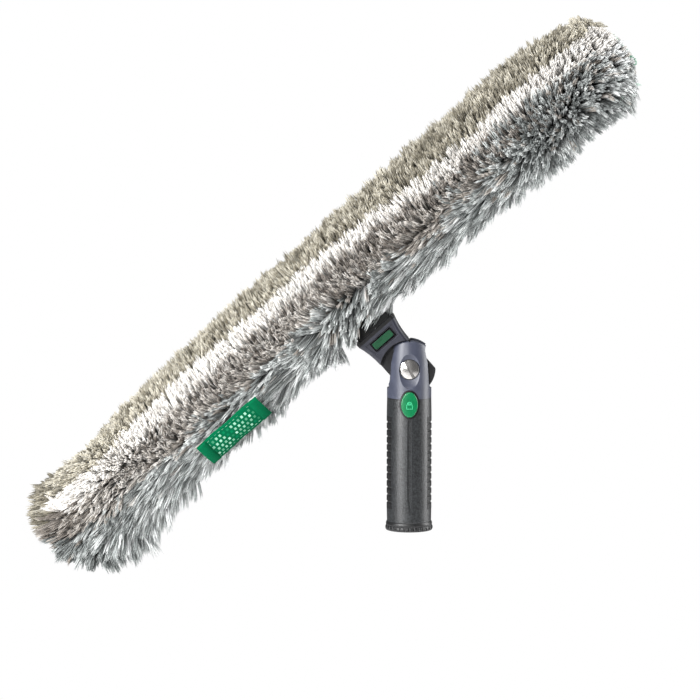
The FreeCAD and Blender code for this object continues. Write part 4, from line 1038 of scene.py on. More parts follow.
@dataclass
class Dyeing(PileStep):
    """The stripes round the sleeve, what is streaked, paler or darker along the bar, and where shade
    and light are painted.
    """

    stripes: tuple[tuple[PileTone, float, float], ...] = (
        (PileTone.OLIVE, -22.0, 0.0), (PileTone.TAUPE, 0.0, 18.0),
        (PileTone.STEEL, 18.0, 27.8), (PileTone.FRINGE, 27.8, 44.0), (PileTone.STEEL, 44.0, 69.0),
        (PileTone.WHITE, 69.0, 75.6), (PileTone.OLIVE, 75.6, 89.8))
    stripe_places: Row = (-225, -205, -175, 0, 100, 170, 205, 220)
    stripe_ways: Row = (-8.7, -8.5, -8.0, -8.8, -4.0, -6.0, -6.0, -4.8)
    white_halves: Row = (2.0, 4.2, 4.6, 2.9, 3.1, 3.5, 4.4, 7.0)
    stripe_reach: float = 8 * MM
    ragged_wave: float = 0.4 * MM
    ragged_lengths: Pair = (8 * MM, 30 * MM)
    ragged_stray: float = 0.3 * MM
    greyed: float = 0.75
    greyed_part: Pair = (60 * MM, 170 * MM)
    steel_streaks: Pair = (0.16, 0.9)
    fringe_streaks: float = 0.18
    left_dark: float = 0.8
    left_dark_part: Pair = (204 * MM, 216 * MM)
    right_dark: float = 0.5
    right_dark_part: Pair = (150 * MM, 190 * MM)
    # Painted light: the right end's steel and fringe yarns are made paler.
    right_painted_light: Pair = (0.3, 0.6)
    right_painted_light_part: Pair = (200 * MM, 218 * MM)
    tone_places: Row = (-222, -200, -190, -80, 20, 130, 190, 222)
    tone_shifts: Row = (-0.02, 0.035, 0.045, 0.015, 0.0, -0.02, -0.012, 0.03)
    # Darker tone at the left end, and painted light at the right end, for clumps that are not white.
    end_tones_and_painted_light: Pair = (-0.06, 0.075)
    end_tone_and_painted_light_part: Pair = (203 * MM, 217 * MM)
    clump_tone: float = 0.05
    hair_tone: float = 0.022
    # Painted shade: ground strands are dyed darker so that they read as shadow under the guard hairs.
    ground_painted_shade: float = 0.02
    tone_limit: float = 0.078
    # Painted root shade: how much of it is lifted, by nearness to the white stripe, and for fringe and
    # white yarns.
    unshaded_root_shares: Pair = (0.25, 0.60)
    fringe_root_unshaded: float = 0.5
    white_root_unshaded: float = 0.9

    def from_stripe(self, along: Array, way: Array) -> Array:
        """Return the way down from the middle of the front's white stripe."""
        spot = way - np.interp(along / MM, self.stripe_places, self.stripe_ways) * MM
        start = self.stripes[0][1] * MM
        return np.mod(spot - start, self.shape.girth) + start

    def by_stripe(self, clumps: Clumps) -> Array:
        """Return one in and beside the front's white stripe, and nought away from it."""
        return np.exp(-(self.from_stripe(clumps.along, clumps.way) / self.stripe_reach) ** 4)

    def dye(self, clumps: Clumps) -> Array:
        """Return each clump's place on the dye ramp, stripe by stripe.

        Args:
            clumps: The clumps.

        Returns:
            The places on the ramp.
        """
        along, way = clumps.along, clumps.way
        ragged = self.ragged_wave * self.waves(along, way, self.ragged_lengths)
        ragged += self.rng.normal(0, self.ragged_stray, len(way))
        spot = self.from_stripe(along, way + ragged)
        place = np.zeros_like(spot)
        for tone, low, high in self.stripes:
            place[(spot >= low * MM) & (spot < high * MM)] = tone.middle
        half = np.interp(along / MM, self.stripe_places, self.white_halves) * MM
        place[np.abs(spot) < half] = PileTone.WHITE.middle
        self.streak(place, along)
        return place

    def streak(self, place: Array, along: Array) -> None:
        """Change some clumps of a stripe to another yarn, by chance and by their place along the bar.

        Args:
            place: The clumps' places on the dye ramp, which are changed.
            along: Their places along the bar.
        """
        chance = self.rng.uniform(0, 1, len(place))
        right_painted_light_share = smooth_step(*self.right_painted_light_part, along)
        greyed = self.greyed * smooth_step(*self.greyed_part, along)
        place[PileTone.TAUPE.among(place) & (chance < greyed)] = PileTone.STEEL.middle
        steel = PileTone.STEEL.among(place)
        place[steel & (chance < self.steel_streaks[0])] = PileTone.FRINGE.middle
        place[steel & (chance > self.steel_streaks[1])] = PileTone.TAUPE.middle
        place[PileTone.WHITE.among(place) & (along < -self.shape.bar_half)] = PileTone.OLIVE.middle
        fringe = PileTone.FRINGE.among(place)
        left = self.left_dark * smooth_step(*self.left_dark_part, -along)
        right = self.right_dark * smooth_step(*self.right_dark_part, along)
        # At the right end, painted light cuts the darker streaks and turns steel to paler fringe.
        for darker in (left, right - self.right_painted_light[0] * right_painted_light_share):
            place[fringe & (chance < self.fringe_streaks + darker)] = PileTone.STEEL.middle
        place[steel & (chance < self.right_painted_light[1] * right_painted_light_share)] = PileTone.FRINGE.middle

    def shades(self, along: Array, dye: Array, which: Array, guard: Array) -> Array:
        """Return each strand's place on the dye ramp, paler or darker than its clump's yarn, with
        painted shade on the ground strands and painted light at the right end.

        Args:
            along: Places of the clumps along the bar.
            dye: Their places on the ramp.
            which: The clump of each strand.
            guard: Which strands are guard hairs.

        Returns:
            The places on the ramp.
        """
        paler = np.interp(along / MM, self.tone_places, self.tone_shifts)
        taupe = np.where(PileTone.TAUPE.among(dye), paler, 0)
        paler = np.where(PileTone.OLIVE.among(dye), np.maximum(paler, 0), taupe)
        # Darker at the left end, painted light at the right end.
        at_end = smooth_step(*self.end_tone_and_painted_light_part, np.abs(along)) * ~PileTone.WHITE.among(dye)
        paler += at_end * np.where(along < 0, *self.end_tones_and_painted_light)
        tone = (self.rng.normal(0, self.clump_tone, len(along)) + paler)[which]
        tone += self.rng.normal(0, self.hair_tone, len(which))
        # Painted shade on the ground strands.
        tone -= np.where(guard, 0.0, self.ground_painted_shade)
        return dye[which] + np.clip(tone, -self.tone_limit, self.tone_limit)

    def roots(self, dye: Array, beside: Array) -> Array:
        """Return how much of the painted shade at the roots of each clump is lifted.

        Args:
            dye: The clumps' places on the ramp.
            beside: How near they are to the front's white stripe.

        Returns:
            Nought for roots in full painted shade, one for roots as pale as the tips.
        """
        pale = between(self.unshaded_root_shares, beside)
        pale[PileTone.FRINGE.among(dye)] = self.fringe_root_unshaded
        pale[PileTone.WHITE.among(dye)] = self.white_root_unshaded
        return pale


@dataclass
class Cutting(PileStep):
    """How long the pile is cut: longest in the fringe below, and short in the white stripes."""

    pile_length: float = 15.2 * MM
    wave: float = 0.05
    wave_lengths: Pair = (15 * MM, 50 * MM)
    stray: float = 0.05
    low_facing: Pair = (0.45, 0.9)
    fringe_shares: tuple[float, float, float] = (0.53, 0.7, 0.22)
    fringe_ends: Pair = (0.6, 0.93)
    neck_longer: float = 0.1
    neck_facing: Pair = (0.2, 0.7)
    dip_share: float = 0.2
    dip_middle: float = -38 * MM
    dip_reach: float = 16 * MM
    left_longer: float = 0.3
    left_end: Pair = (1.0, 1.03)
    white_shorter: float = 0.06

    @property
    def longest(self) -> float:
        """The length of the longest fringe."""
        return self.pile_length * (1 + max(self.fringe_shares))

    def lengths(self, clumps: Clumps, white: Array) -> Array:
        """Return how long each clump is.

        Args:
            clumps: The clumps.
            white: Which of them are white.

        Returns:
            The lengths.
        """
        along, down = clumps.along, -clumps.normal[:, 2]
        longer = 1 + self.wave * self.waves(along, clumps.way, self.wave_lengths)
        low = smooth_step(*self.low_facing, down)
        ends = smooth_step(*self.fringe_ends, np.abs(along) / self.shape.bar_half)
        usual, left, right = self.fringe_shares
        longer += low * (usual + np.where(along < 0, left - usual, right - usual) * ends)
        neck = self.shape.near_neck(along) * smooth_step(*self.neck_facing, down)
        longer += self.neck_longer * neck
        longer -= self.dip_share * low * np.exp(-((along - self.dip_middle) / self.dip_reach) ** 2)
        longer += self.left_longer * smooth_step(*self.left_end, -along / self.shape.bar_half)
        longer -= self.white_shorter * white
        return self.pile_length * longer * self.rng.normal(1.0, self.stray, len(along))


@dataclass
class Settling(PileStep):
    """How the pile settles: it sags, its tips gather in locks, and the sleeve's ends are rounded."""

    sag_places: Row = (-229, -220, -205, -185, -160, -125, 0, 150, 175, 200, 212, 222)
    sag_depths: Row = (0, 2.5, 5.0, 7.0, 4.0, 0, -0.8, -0.8, 0, 4.2, 8.0, 5)
    lock_size: float = 5.0 * MM
    lock_pull: Pair = (0.1, 0.45)
    lock_falls: Pair = (6, 12)
    lock_wave: float = 0.35
    lock_lengths: Pair = (12 * MM, 40 * MM)
    lock_slant: float = 0.37
    rounds: tuple[Pair, Pair] = ((-216 * MM, -256 * MM), (212 * MM, 239 * MM))
    low_part: Pair = (12 * MM, 42 * MM)
    low_slants: Pair = (-22 * MM, 24 * MM)
    high_part: Pair = (4 * MM, 26 * MM)
    high_slants: Pair = (-10 * MM, 14 * MM)
    reach_power: int = 4
    round_power: float = 2.4
    least_room: float = 0.02
    ragged: Pair = (0.8, 1.1)

    def sag(self, along: Array) -> Array:
        """Return how far the loose pile hangs down at each place along the bar."""
        return np.interp(along / MM, self.sag_places, self.sag_depths) * MM

    def gather_locks(self, strands: Strands, along: Array, way: Array) -> None:
        """Draw the tips together in locks, most of all in the long pile below the seam.

        Args:
            strands: The strands, in the head's frame.
            along: Places of their clumps along the bar.
            way: Places of their clumps round the sleeve.
        """
        bent = way + self.lock_size * self.lock_wave * self.waves(along, way, self.lock_lengths)
        column = np.floor((along + bent * self.lock_slant) / self.lock_size).astype(int)
        line = np.floor(bent / self.lock_size).astype(int)
        _, lock = np.unique(np.stack([column, line]), axis=1, return_inverse=True)
        lock = lock.ravel()
        tip = strands.tip
        weight = np.bincount(lock)[:, None]
        middle = np.stack([np.bincount(lock, tip[:, axis]) for axis in range(3)], 1) / weight
        pull = between(self.lock_pull, smooth_step(*self.lock_falls, self.shape.fall(way)))
        strands.bend += (middle[lock] - tip) * pull[:, None]

    def round_ends(self, strands: Strands, ragged: Array, middle: float, longest: float) -> None:
        """Draw in the tips near both ends, so that the sleeve's ends are rounded.

        Args:
            strands: The strands, in the head's frame.
            ragged: How far each strand may stand out, about one.
            middle: The height of the bar's middle.
            longest: The length of the longest pile.
        """
        above = strands.tip[:, 2] - middle
        low = np.interp(-above, self.low_part, (0, 1))
        high = np.interp(above, self.high_part, (0, 1))
        for (start, end), down, up in zip(self.rounds, self.low_slants, self.high_slants):
            slanted = strands.tip[:, 0] + down * low + up * high
            reach = np.maximum((slanted - start) / (end - start), 0)
            short = reach - reach / (1 + reach ** self.reach_power) ** (1 / self.reach_power)
            strands.bend[:, 0] -= short * ragged * (end - start)
        tip, shape = strands.tip, self.shape
        away = np.zeros(len(tip))
        for start, end in self.rounds:
            away += np.clip((tip[:, 0] - start) / (end - start), 0, 1)
        room = np.sqrt(np.maximum(1 - away ** self.round_power, self.least_room))
        up = tip[:, 2] - middle + self.sag(np.clip(tip[:, 0], -shape.bar_half, shape.bar_half))
        past_flat = np.sign(up) * np.maximum(np.abs(up) - shape.half_flat * room, 0)
        spread = np.hypot(tip[:, 1], past_flat)
        allowed = (shape.half_depth + longest) * room * ragged
        share = np.minimum(allowed / np.maximum(spread, 1e-9), 1.0)
        drawn = np.where(away > 0, share, 1.0)
        strands.bend[:, 1] -= tip[:, 1] * (1 - drawn)
        strands.bend[:, 2] -= past_flat * (1 - drawn)


@dataclass
class PileSleeve:
    """The washer's sleeve: a knitted backing drawn over the bar, and the pile that is sewn to it."""

    head: HeadFrame
    label: SleeveLabel
    shape: SleeveShape = SleeveShape()
    cloth: float = 0.8 * MM
    belt: float = 0.05 * MM
    panels: int = 10
    clump_stray: float = 0.9 * MM
    guards: int = 7
    guard_radius: float = 0.46 * MM
    guard_shares: Pair = (0.9, 1.05)
    grounds: int = 2
    ground_radius: float = 1.15 * MM
    ground_shares: Pair = (0.5, 0.7)
    ground_pull: float = 0.1
    white_ground: float = 0.28
    radius_shares: Pair = (0.8, 1.15)
    tuft_pull: float = 0.8
    stripe_calm: float = 0.8
    heading_stray: float = 0.18
    bend_share: float = 0.25
    bend_stray: float = 0.08
    hair_stray: float = 0.06
    curl_stray: float = 0.03
    label_margin: float = 1.0 * MM
    label_lap: float = 1.5 * MM
    label_gap: float = 1.2 * MM
    seed: int = 44

    def build(self) -> list[Piece]:
        backing = self.build_backing()
        pile = self.build_pile()
        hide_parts("fibre_sleeve")
        return [backing, *pile]

    def build_backing(self) -> Piece:
        """Model the backing: a ball drawn out along the bar and up it, with a mouth for the stem."""
        shape = self.shape
        bm = bmesh.new()
        bmesh.ops.create_uvsphere(bm, u_segments=32, v_segments=16, radius=shape.half_depth)
        bmesh.ops.rotate(bm, verts=bm.verts[:], matrix=Matrix.Rotation(math.pi / 2, 3, "Y"))
        for vert in bm.verts:
            cap = shape.left_cap if vert.co.x < 0 else shape.right_cap
            vert.co.x *= cap / shape.half_depth
        for axis, reach in ((0, shape.bar_half), (2, shape.half_flat)):
            self.draw_apart(bm, axis, reach)
        for normal, half in (((1, 0, 0), shape.mouth_half), ((0, 1, 0), shape.mouth_depth)):
            for side in (half, -half):
                cut_through(bm, side * Vector(normal), normal)
        mouth = [f for f in bm.faces if shape.in_mouth(*f.calc_center_median())]
        bmesh.ops.delete(bm, geom=mouth, context="FACES")
        piece = place_piece(bm, "sleeve_backing", BACKING_KNIT.material(), WASHER_HEAD,
                            self.head.matrix(up=self.head.bar_middle))
        thicken(piece, self.cloth, offset=-1.0)
        return piece

    def draw_apart(self, bm: WorkMesh, axis: int, reach: float) -> None:
        """Draw the two halves of a closed shape apart, and out with them a narrow belt between them.

        Args:
            bm: The shape, which lies evenly about the plane between the halves.
            axis: The axis along which they part.
            reach: How far each half moves.
        """
        normal = Vector((axis == 0, axis == 1, axis == 2))
        for side in (-self.belt, self.belt):
            cut_through(bm, side * normal, normal)
        for vert in bm.verts:
            if abs(vert.co[axis]) > self.belt / 2:
                vert.co[axis] += math.copysign(reach, vert.co[axis])

    def grow(self, rng: np.random.Generator) -> Strands:
        """Grow the strands clump by clump, in the head's frame: guard hairs over a thick ground.

        Args:
            rng: The seeded source of chance.

        Returns:
            The strands.
        """
        dyeing, cutting, settling = (step(self.shape, rng) for step in (Dyeing, Cutting, Settling))
        clumps = ClumpPlan(self.shape, rng).set_out()
        along, normal = clumps.along, clumps.normal
        count = len(along)
        lean = Combing(self.shape, rng).lean(clumps)
        dye = dyeing.dye(clumps)
        white = PileTone.WHITE.among(dye)
        beside = dyeing.by_stripe(clumps)
        calm = 1 - self.stripe_calm * beside[:, None]
        heading = unit(normal + lean + calm * rng.normal(0, self.heading_stray, (count, 3)))
        length = cutting.lengths(clumps, white)
        bend = self.bend_share * length[:, None] * lean
        bend[:, 2] -= settling.sag(along)
        bend += calm * rng.normal(0, self.bend_stray, (count, 3)) * length[:, None]

        each = self.guards + self.grounds
        which = np.repeat(np.arange(count), each)
        guard = np.tile(np.arange(each) < self.guards, count)
        total = count * each
        spread = rng.normal(0, self.clump_stray, (total, 3))
        spread -= normal[which] * (spread * normal[which]).sum(1, keepdims=True)
        own = unit(heading[which] + calm[which] * rng.normal(0, self.hair_stray, (total, 3)))
        share = np.where(guard, rng.uniform(*self.guard_shares, total),
                         rng.uniform(*self.ground_shares, total))
        share += np.where(guard | ~white[which], 0.0, self.white_ground)
        own_length = (length[which] * share)[:, None]
        drawn = np.where(guard & ~white[which], self.tuft_pull, self.ground_pull)
        lift = own * own_length - spread * drawn[:, None]
        curl = bend[which] * share[:, None] ** 2
        curl += rng.normal(0, self.curl_stray, (total, 3)) * own_length
        shade = dyeing.shades(along, dye, which, guard)
        radius = np.where(guard, self.guard_radius, self.ground_radius)
        radius *= rng.uniform(*self.radius_shares, total)
        base = clumps.root[which] + spread - normal[which] * self.cloth / 2
        base[:, 2] += self.head.bar_middle
        strands = Strands(base, lift, curl, radius, shade, dyeing.roots(dye, beside)[which])
        settling.gather_locks(strands, along[which], clumps.way[which])
        ragged = rng.uniform(*settling.ragged, count)[which]
        settling.round_ends(strands, ragged, self.head.bar_middle, cutting.longest)
        return strands

    def press_under_label(self, strands: Strands) -> None:
        """Press down the strands that would come up through the label.

        Args:
            strands: The strands, in the object's frame.
        """
        to_label = np.array(self.label.matrix().inverted())
        root, tip = (spots @ to_label[:3, :3].T + to_label[:3, 3]
                     for spots in (strands.root, strands.tip))
        half_length, half_width = self.label.length / 2 + self.label_margin, self.label.width / 2
        under = (np.abs(tip[:, 0]) < half_length) & (np.abs(tip[:, 1]) < half_width)
        under &= root[:, 1] < half_width + self.label_lap
        ceiling = self.label.bow(tip[:, 1]) - self.label_gap
        excess = np.where(under, np.maximum(tip[:, 2] - ceiling, 0), 0)
        outward = to_label[2, :3]
        strands.bend -= excess[:, None] * outward[None, :]

    def build_pile(self) -> list[Piece]:
        """Plant the pile in panels along the bar."""
        rng = np.random.default_rng(self.seed)
        strands = self.grow(rng)
        along = strands.root[:, 0].copy()
        strands.root = self.head.points(strands.root)
        strands.lift = self.head.turned(strands.lift)
        strands.bend = self.head.turned(strands.bend)
        self.press_under_label(strands)
        order = np.array_split(np.argsort(along, kind="stable"), self.panels)
        planter = FibrePlanter()
        material = PILE.material()
        pile = []
        for number, chosen in enumerate(order, start=1):
            mesh = planter.plant(strands.part(chosen), rng)
            piece = add_piece(mesh, f"pile_panel_{number:02d}", material, WASHER_HEAD)
            pile.append(piece)
        return pile


@dataclass
class ScrubPad:
    """The needled scrub pad on the sleeve's closed end, with loose fibres standing off it."""

    head: HeadFrame
    middle: float = 62 * MM
    start: float = 228.3 * MM
    thickness: float = 4.7 * MM
    half_width: float = 13 * MM
    half_depth: float = 9 * MM
    edge: float = 1.6 * MM
    fibres: int = 1300
    fibre_length: float = 1.2 * MM
    fibre_shares: Pair = (0.5, 1.2)
    fibre_radius: float = 0.28 * MM
    fibre_stray: float = 0.45
    fibre_curl: float = 0.3
    fibre_tones: Pair = (-0.01, 0.0)
    # Share of the painted root shade lifted on the pad's own fibres.
    fibre_root_unshaded: float = 0.4
    least_share: float = 0.02
    rim_share: float = 0.86
    rim_depths: Pair = (0.2, 1.0)
    rim_lean: float = 0.4
    face_depth: float = 0.97
    hanging: int = 70
    hanging_length: float = 12 * MM
    hanging_shares: Pair = (0.6, 1.1)
    hanging_inset: Pair = (8 * MM, 15 * MM)
    hanging_drops: Pair = (0.7, 1.2)
    hanging_way: tuple[float, float, float] = (0.1, 0.0, -1.0)
    hanging_stray: float = 0.25
    hanging_tone: float = 0.008
    # Share of the painted root shade lifted on the hanging fibres.
    hanging_root_unshaded: float = 0.9
    seed: int = 7

    def build(self) -> list[Piece]:
        """Model the pad and plant its fibres."""
        bm = bmesh.new()
        bmesh.ops.create_circle(bm, cap_ends=True, segments=48, radius=self.half_depth)
        bmesh.ops.rotate(bm, verts=bm.verts[:], matrix=Matrix.Rotation(math.pi / 2, 3, "Y"))
        for vert in bm.verts:
            vert.co.z += math.copysign(self.half_width - self.half_depth, vert.co.z)
        bmesh.ops.translate(bm, verts=raise_faces(bm), vec=(self.thickness, 0, 0))
        round_edges(bm, [e for e in bm.edges if e.calc_face_angle(0.0) > 1.0], self.edge, segments=3)
        bmesh.ops.triangulate(bm, faces=[f for f in bm.faces if len(f.verts) > 4])
        pad = place_piece(bm, "scrub_pad", SCRUB_FELT.material(), WASHER_HEAD,
                          self.head.matrix(along=self.start, up=self.middle))
        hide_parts("end_scrub_pad")
        return [pad, self.build_fibres()]

    def build_fibres(self) -> Piece:
        """Plant loose fibres on the pad's face and rim, and some that hang down before it."""
        rng = np.random.default_rng(self.seed)
        count, hanging = self.fibres, self.hanging
        turn = rng.uniform(0, 2 * math.pi, count)
        share = np.sqrt(rng.uniform(self.least_share, 1, count))
        sine, cosine = np.sin(turn), np.cos(turn)
        back, up = sine * self.half_depth, cosine * self.half_depth
        up = up + np.sign(up) * (self.half_width - self.half_depth)
        rim = share > self.rim_share
        deep = np.where(rim, rng.uniform(*self.rim_depths, count), self.face_depth) * self.thickness
        root = np.column_stack([self.start + deep, back * share, up * share + self.middle])
        out = unit(np.column_stack([
            np.where(rim, self.rim_lean, 1.0), np.where(rim, sine, 0), np.where(rim, cosine, 0)]))
        heading = unit(out + rng.normal(0, self.fibre_stray, (count, 3)))
        length = self.fibre_length * rng.uniform(*self.fibre_shares, count)
        loose = np.arange(count) < hanging
        root[loose] = np.column_stack([
            self.start - rng.uniform(*self.hanging_inset, hanging),
            rng.uniform(-1, 1, hanging) * 2 * self.half_depth,
            self.middle - self.half_width * rng.uniform(*self.hanging_drops, hanging)])
        heading[loose] = unit(rng.normal(0, self.hanging_stray, (hanging, 3)) + self.hanging_way)
        length[loose] = self.hanging_length * rng.uniform(*self.hanging_shares, hanging)
        bend = rng.normal(0, self.fibre_curl, (count, 3)) * length[:, None]
        tone = np.where(loose, self.hanging_tone, rng.uniform(*self.fibre_tones, count))
        strands = Strands(
            self.head.points(root), self.head.turned(heading * length[:, None]),
            self.head.turned(bend), np.full(count, self.fibre_radius), PileTone.MINT.middle + tone,
            np.where(loose, self.hanging_root_unshaded, self.fibre_root_unshaded))
        mesh = FibrePlanter().plant(strands, rng)
        fuzz = add_piece(mesh, "scrub_pad_fuzz", SCRUB_FIBRE.material(), WASHER_HEAD)
        return fuzz


@dataclass
class RigidPieces:
    """The moulded, rubber and metal pieces, which keep their solids and get their finishes here."""

    finishes: dict[str, MouldedPlastic | TurnedMetal] = field(default_factory=lambda: {
        "pole_socket_tube": BLACK_ABS, "handle_yoke": FORK_NYLON, "core_screw": BOLT_STEEL,
        "grip_sleeve": GRIP_SKIN, "grip_pad_left": GRIP_RUBBER, "grip_pad_right": GRIP_RUBBER,
        "end_ring": FOOT_RUBBER, "button_bezel": BLACK_ABS, "lock_button": BUTTON_ABS,
        "latch_ring": SPRING_STEEL, "pivot_bolt": BOLT_STEEL, "spring_washer": SPRING_STEEL,
        "pivot_nut": BOLT_STEEL, "friction_washer_front": WASHER_NYLON,
        "friction_washer_rear": WASHER_NYLON, "neck_block": NECK_NYLON, "pivot_bush": BUSH_BRASS,
        "neck_badge": BADGE_ABS, "t_bar": BLACK_ABS, "neck_screw_left": BOLT_STEEL,
        "neck_screw_right": BOLT_STEEL})

    def dress(self, nodes: dict[str, Piece]) -> None:
        """Give each solid its finish.

        Args:
            nodes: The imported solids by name.
        """
        made: dict[str, Material] = {}
        for name, finish in self.finishes.items():
            if finish.name not in made:
                made[finish.name] = finish.material()
            nodes[name].material_slots[0].material = made[finish.name]
            LOG.info("%s: %s", name, finish.name)


@dataclass
class LeafSpring:
    """The bowed steel leaf behind the push button, which flattens as the button goes in."""

    thickness: float = 0.4 * MM
    travel: float = 1.9 * MM
    steps: int = 16

    def build(self) -> Piece:
        """Bow a strip to the size of its solid, and let it flatten towards its feet."""
        low, high = (Vector(corner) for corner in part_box("button_spring"))
        size = high - low
        rise = size.y - 1.5 * self.thickness
        bm = bmesh.new()
        bmesh.ops.create_grid(bm, x_segments=self.steps, y_segments=2, size=0.5)
        bmesh.ops.rotate(bm, verts=bm.verts[:], matrix=Matrix.Rotation(math.pi / 2, 3, "X"))
        bmesh.ops.scale(bm, verts=bm.verts[:], vec=(size.x - 2 * self.thickness, 1.0, size.z))
        reach = max(vert.co.x for vert in bm.verts)
        for vert in bm.verts:
            vert.co.y = -rise * (1 - (vert.co.x / reach) ** 2)
        foot = Vector(((low.x + high.x) / 2, high.y - self.thickness, (low.z + high.z) / 2))
        leaf = place_piece(
            bm, "leaf_spring", SPRING_STEEL.material(), HANDLE, Matrix.Translation(foot))
        thicken(leaf, self.thickness)
        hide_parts("button_spring")
        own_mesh(leaf)
        return leaf


def front_of(solid: Piece, x: float, z: float) -> float:
    """Return how far back a solid's front lies at a place, looking from the front.

    Args:
        solid: The solid.
        x: The place across.
        z: The place's height.

    Returns:
        The front's place along Y.
    """
    hit, spot, _, _ = solid.ray_cast((x, -1.0, z), (0, 1, 0))
    if not hit:
        raise ValueError(f"{solid.name} has no front at {x:.4f}, {z:.4f}")
    return spot.y


@dataclass
class RaisedSign:
    """A small closed padlock in outline, a plain sign for a lock, moulded proud of the push button."""

    middle: float = 81.0 * MM
    width: float = 3.9 * MM
    height: float = 3.0 * MM
    bar: float = 0.5 * MM
    bow: float = 1.5 * MM
    drop: float = 1.0 * MM
    proud: float = 0.22 * MM
    sunk: float = 0.3 * MM

    def build(self, button: Piece) -> Piece:
        """Model the sign flat, then lay it on the button's crown.

        Args:
            button: The dressed button.

        Returns:
            The sign.
        """
        bm = bmesh.new()
        bmesh.ops.create_circle(bm, cap_ends=True, segments=32, radius=self.bow)
        cut_through(bm, (0, 0, 0), (0, 1, 0), clear_inner=True)
        bow = set(bm.verts)
        bmesh.ops.create_grid(bm, x_segments=1, y_segments=1, size=0.5)
        box = [v for v in bm.verts if v not in bow]
        bmesh.ops.scale(bm, verts=box, vec=(self.width, self.height, 1))
        bmesh.ops.translate(bm, verts=box, vec=(0, -self.height / 2 - self.bar / 2, 0))
        rims = bmesh.ops.inset_individual(bm, faces=bm.faces[:], thickness=self.bar)["faces"]
        bmesh.ops.delete(bm, geom=[f for f in bm.faces if f not in set(rims)], context="FACES")
        raised = set(raise_faces(bm))
        for vert in bm.verts:
            x, z = vert.co.x, vert.co.y + self.middle - self.drop + self.height / 2
            lift = self.proud if vert in raised else -self.sunk
            vert.co = (x, front_of(button, x, z) - lift, z)
        sign = place_piece(
            bm, "lock_sign", SIGN_ABS.material(), POLE_LOCK, Matrix.Identity(4), smooth=False)
        return sign


@dataclass
class BadgeRim:
    """The dark moulded rim round the bare plate on the neck."""

    head: HeadFrame
    up: float = 25.4 * MM
    width: float = 16.7 * MM
    height: float = 6.4 * MM
    bar: float = 1.05 * MM
    front: float = -12.35 * MM
    depth: float = 1.0 * MM
    corner: float = 0.9 * MM

    def build(self, material: Material) -> Piece:
        """Model the rim.

        Args:
            material: Its finish.

        Returns:
            The rim.
        """
        bm = bmesh.new()
        bmesh.ops.create_grid(bm, x_segments=1, y_segments=1, size=0.5)
        bmesh.ops.scale(bm, verts=bm.verts[:], vec=(self.width, self.height, 1))
        plate = bm.faces[:]
        bmesh.ops.inset_individual(bm, faces=plate, thickness=self.bar)
        bmesh.ops.delete(bm, geom=plate, context="FACES")
        bmesh.ops.translate(bm, verts=raise_faces(bm), vec=(0, 0, self.depth))
        uprights = [e for e in bm.edges if abs(e.verts[0].co.z - e.verts[1].co.z) > self.depth / 2]
        round_edges(bm, uprights, self.corner, segments=4)
        stand = self.head.matrix(back=self.front, up=self.up) @ Matrix.Rotation(-math.pi / 2, 4, "X")
        rim = place_piece(bm, "badge_rim", material, WASHER_HEAD, stand, smooth=False)
        return rim


@dataclass
class ClosureTapes:
    """The hook and loop tapes in the sleeve's open end, which press together to close it."""

    head: HeadFrame
    inner_end: float = -220.8 * MM
    length: float = 16 * MM
    width: float = 24 * MM
    thickness: float = 1.2 * MM
    middle: float = 0.75 * MM
    height: float = 62 * MM
    edge: float = 0.3 * MM

    def build(self) -> list[Piece]:
        """Model the two tapes."""
        made = []
        material = TAPE_WEAVE.material()
        tapes = (("hook_tape", "closure_hook_tape", -1), ("loop_tape", "closure_loop_tape", 1))
        for name, node, side in tapes:
            bm = bmesh.new()
            bmesh.ops.create_cube(bm, size=1.0)
            bmesh.ops.scale(bm, verts=bm.verts[:], vec=(self.length, self.thickness, self.width))
            round_edges(bm, bm.edges[:], self.edge, segments=2)
            piece = place_piece(bm, name, material, WASHER_HEAD, self.head.matrix(
                self.inner_end - self.length / 2, self.middle * side, self.height))
            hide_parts(node)
            made.append(piece)
        return made


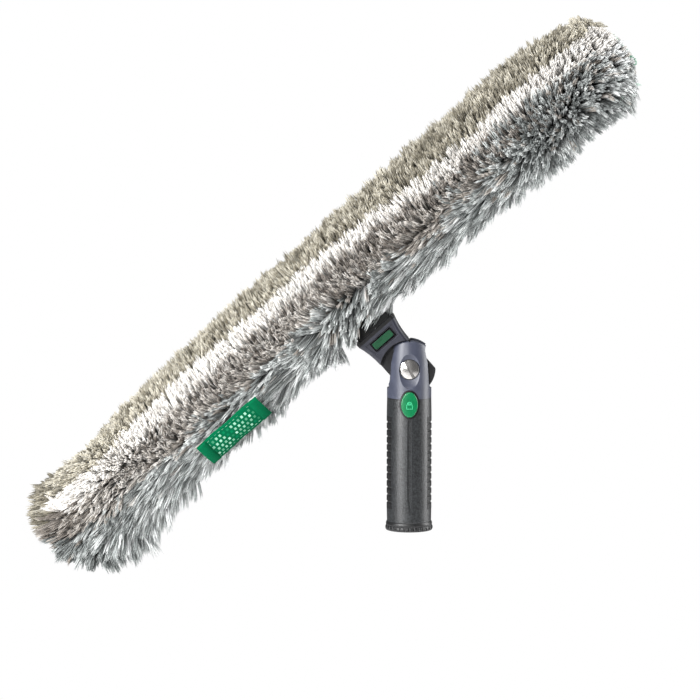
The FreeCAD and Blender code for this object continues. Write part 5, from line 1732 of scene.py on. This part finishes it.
@dataclass
class Studio:
    """The pale floor, the soft lights and the camera."""

    lights: tuple[tuple[str, Row, Pair, float], ...] = (
        ("key_light", (-1.0, -0.95, 0.4), (0.4, 1.1), 44.0),
        ("front_light", (-0.7, -2.2, 0.55), (0.5, 0.5), 26.0),
        ("right_light", (1.25, 0.15, 0.30), (0.6, 1.1), 24.0),
        ("top_light", (0.1, -0.3, 1.4), (1.0, 0.8), 14.0))
    target: Vector = field(default_factory=lambda: Vector((-37.4 * MM, 0, 114.2 * MM)))
    view_width: float = 441.7 * MM
    distance: float = 2.2
    elevation: float = math.radians(6)
    floor_height: float = -0.30
    floor_size: float = 2.0
    floor_shift: float = -0.2
    room_light: float = 0.2

    def build(self) -> None:
        """Set up the camera, the lights, the floor and the world."""
        self.add_camera()
        for light in self.lights:
            self.add_light(*light)
        self.add_floor()
        self.add_world()
        scene = bpy.context.scene
        scene.view_settings.view_transform = "Standard"
        scene.view_settings.look = "None"

    def add_camera(self) -> None:
        """Put the camera in front, a little above, with the photograph's framing."""
        data = bpy.data.cameras.new("camera")
        data.sensor_width = 36.0
        data.lens = data.sensor_width * self.distance / self.view_width
        camera = add_object("camera", data)
        back = Vector((0, -math.cos(self.elevation), math.sin(self.elevation)))
        camera.location = self.target + back * self.distance
        camera.rotation_euler = (-back).to_track_quat("-Z", "Y").to_euler()
        bpy.context.scene.camera = camera

    def add_light(self, name: str, place: Row, size: Pair, power: float) -> None:
        """Add a soft light that faces the object.

        Args:
            name: The light's name.
            place: Where it stands.
            size: Its width and height.
            power: Its power in watts.
        """
        data = bpy.data.lights.new(name, "AREA")
        data.shape = "RECTANGLE"
        data.size, data.size_y = size
        data.energy = power
        light = add_object(name, data)
        light.location = place
        light.rotation_euler = (self.target - Vector(place)).to_track_quat("-Z", "Y").to_euler()

    def add_floor(self) -> None:
        """Lay a plain pale floor well below the object, so that its shadow stays out of the picture."""
        bm = bmesh.new()
        bmesh.ops.create_grid(bm, x_segments=1, y_segments=1, size=self.floor_size / 2)
        bmesh.ops.translate(bm, verts=bm.verts[:], vec=(0, self.floor_shift, self.floor_height))
        mesh = finish_mesh(bm, "floor")
        material, tree, shader = new_material("painted_white_floor")
        set_inputs(tree, shader, {"Base Color": linear("#f6f6f6"), "Roughness": 0.9})
        mesh.materials.append(material)
        floor = add_object("floor", mesh)

    def add_world(self) -> None:
        """Fill the room with even white light, dimmer on the object than in the background."""
        world = bpy.data.worlds.new("studio")
        world.use_nodes = True
        tree = world.node_tree
        tree.nodes.clear()
        seen = add_node(tree, "LightPath").outputs["Is Camera Ray"]
        strength = add_range(tree, seen, end=(self.room_light, 1.0))
        white = add_node(tree, "Background", {"Color": linear("#ffffff"), "Strength": strength})
        add_node(tree, "OutputWorld", {"Surface": white.outputs[0]})
        bpy.context.scene.world = world


def main() -> None:
    """Load the solids and dress them."""
    logging.basicConfig(level=logging.INFO, format="%(message)s")
    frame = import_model()
    head = HeadFrame()
    Studio().build()
    nodes = frame["nodes"]
    RigidPieces().dress(nodes)
    LeafSpring().build()
    RaisedSign().build(nodes["lock_button"])
    BadgeRim(head).build(nodes["t_bar"].material_slots[0].material)
    label = SleeveLabel(head)
    PileSleeve(head, label).build()
    label.build()
    ScrubPad(head).build()
    ClosureTapes(head).build()


if __name__ == "__main__":
    main()
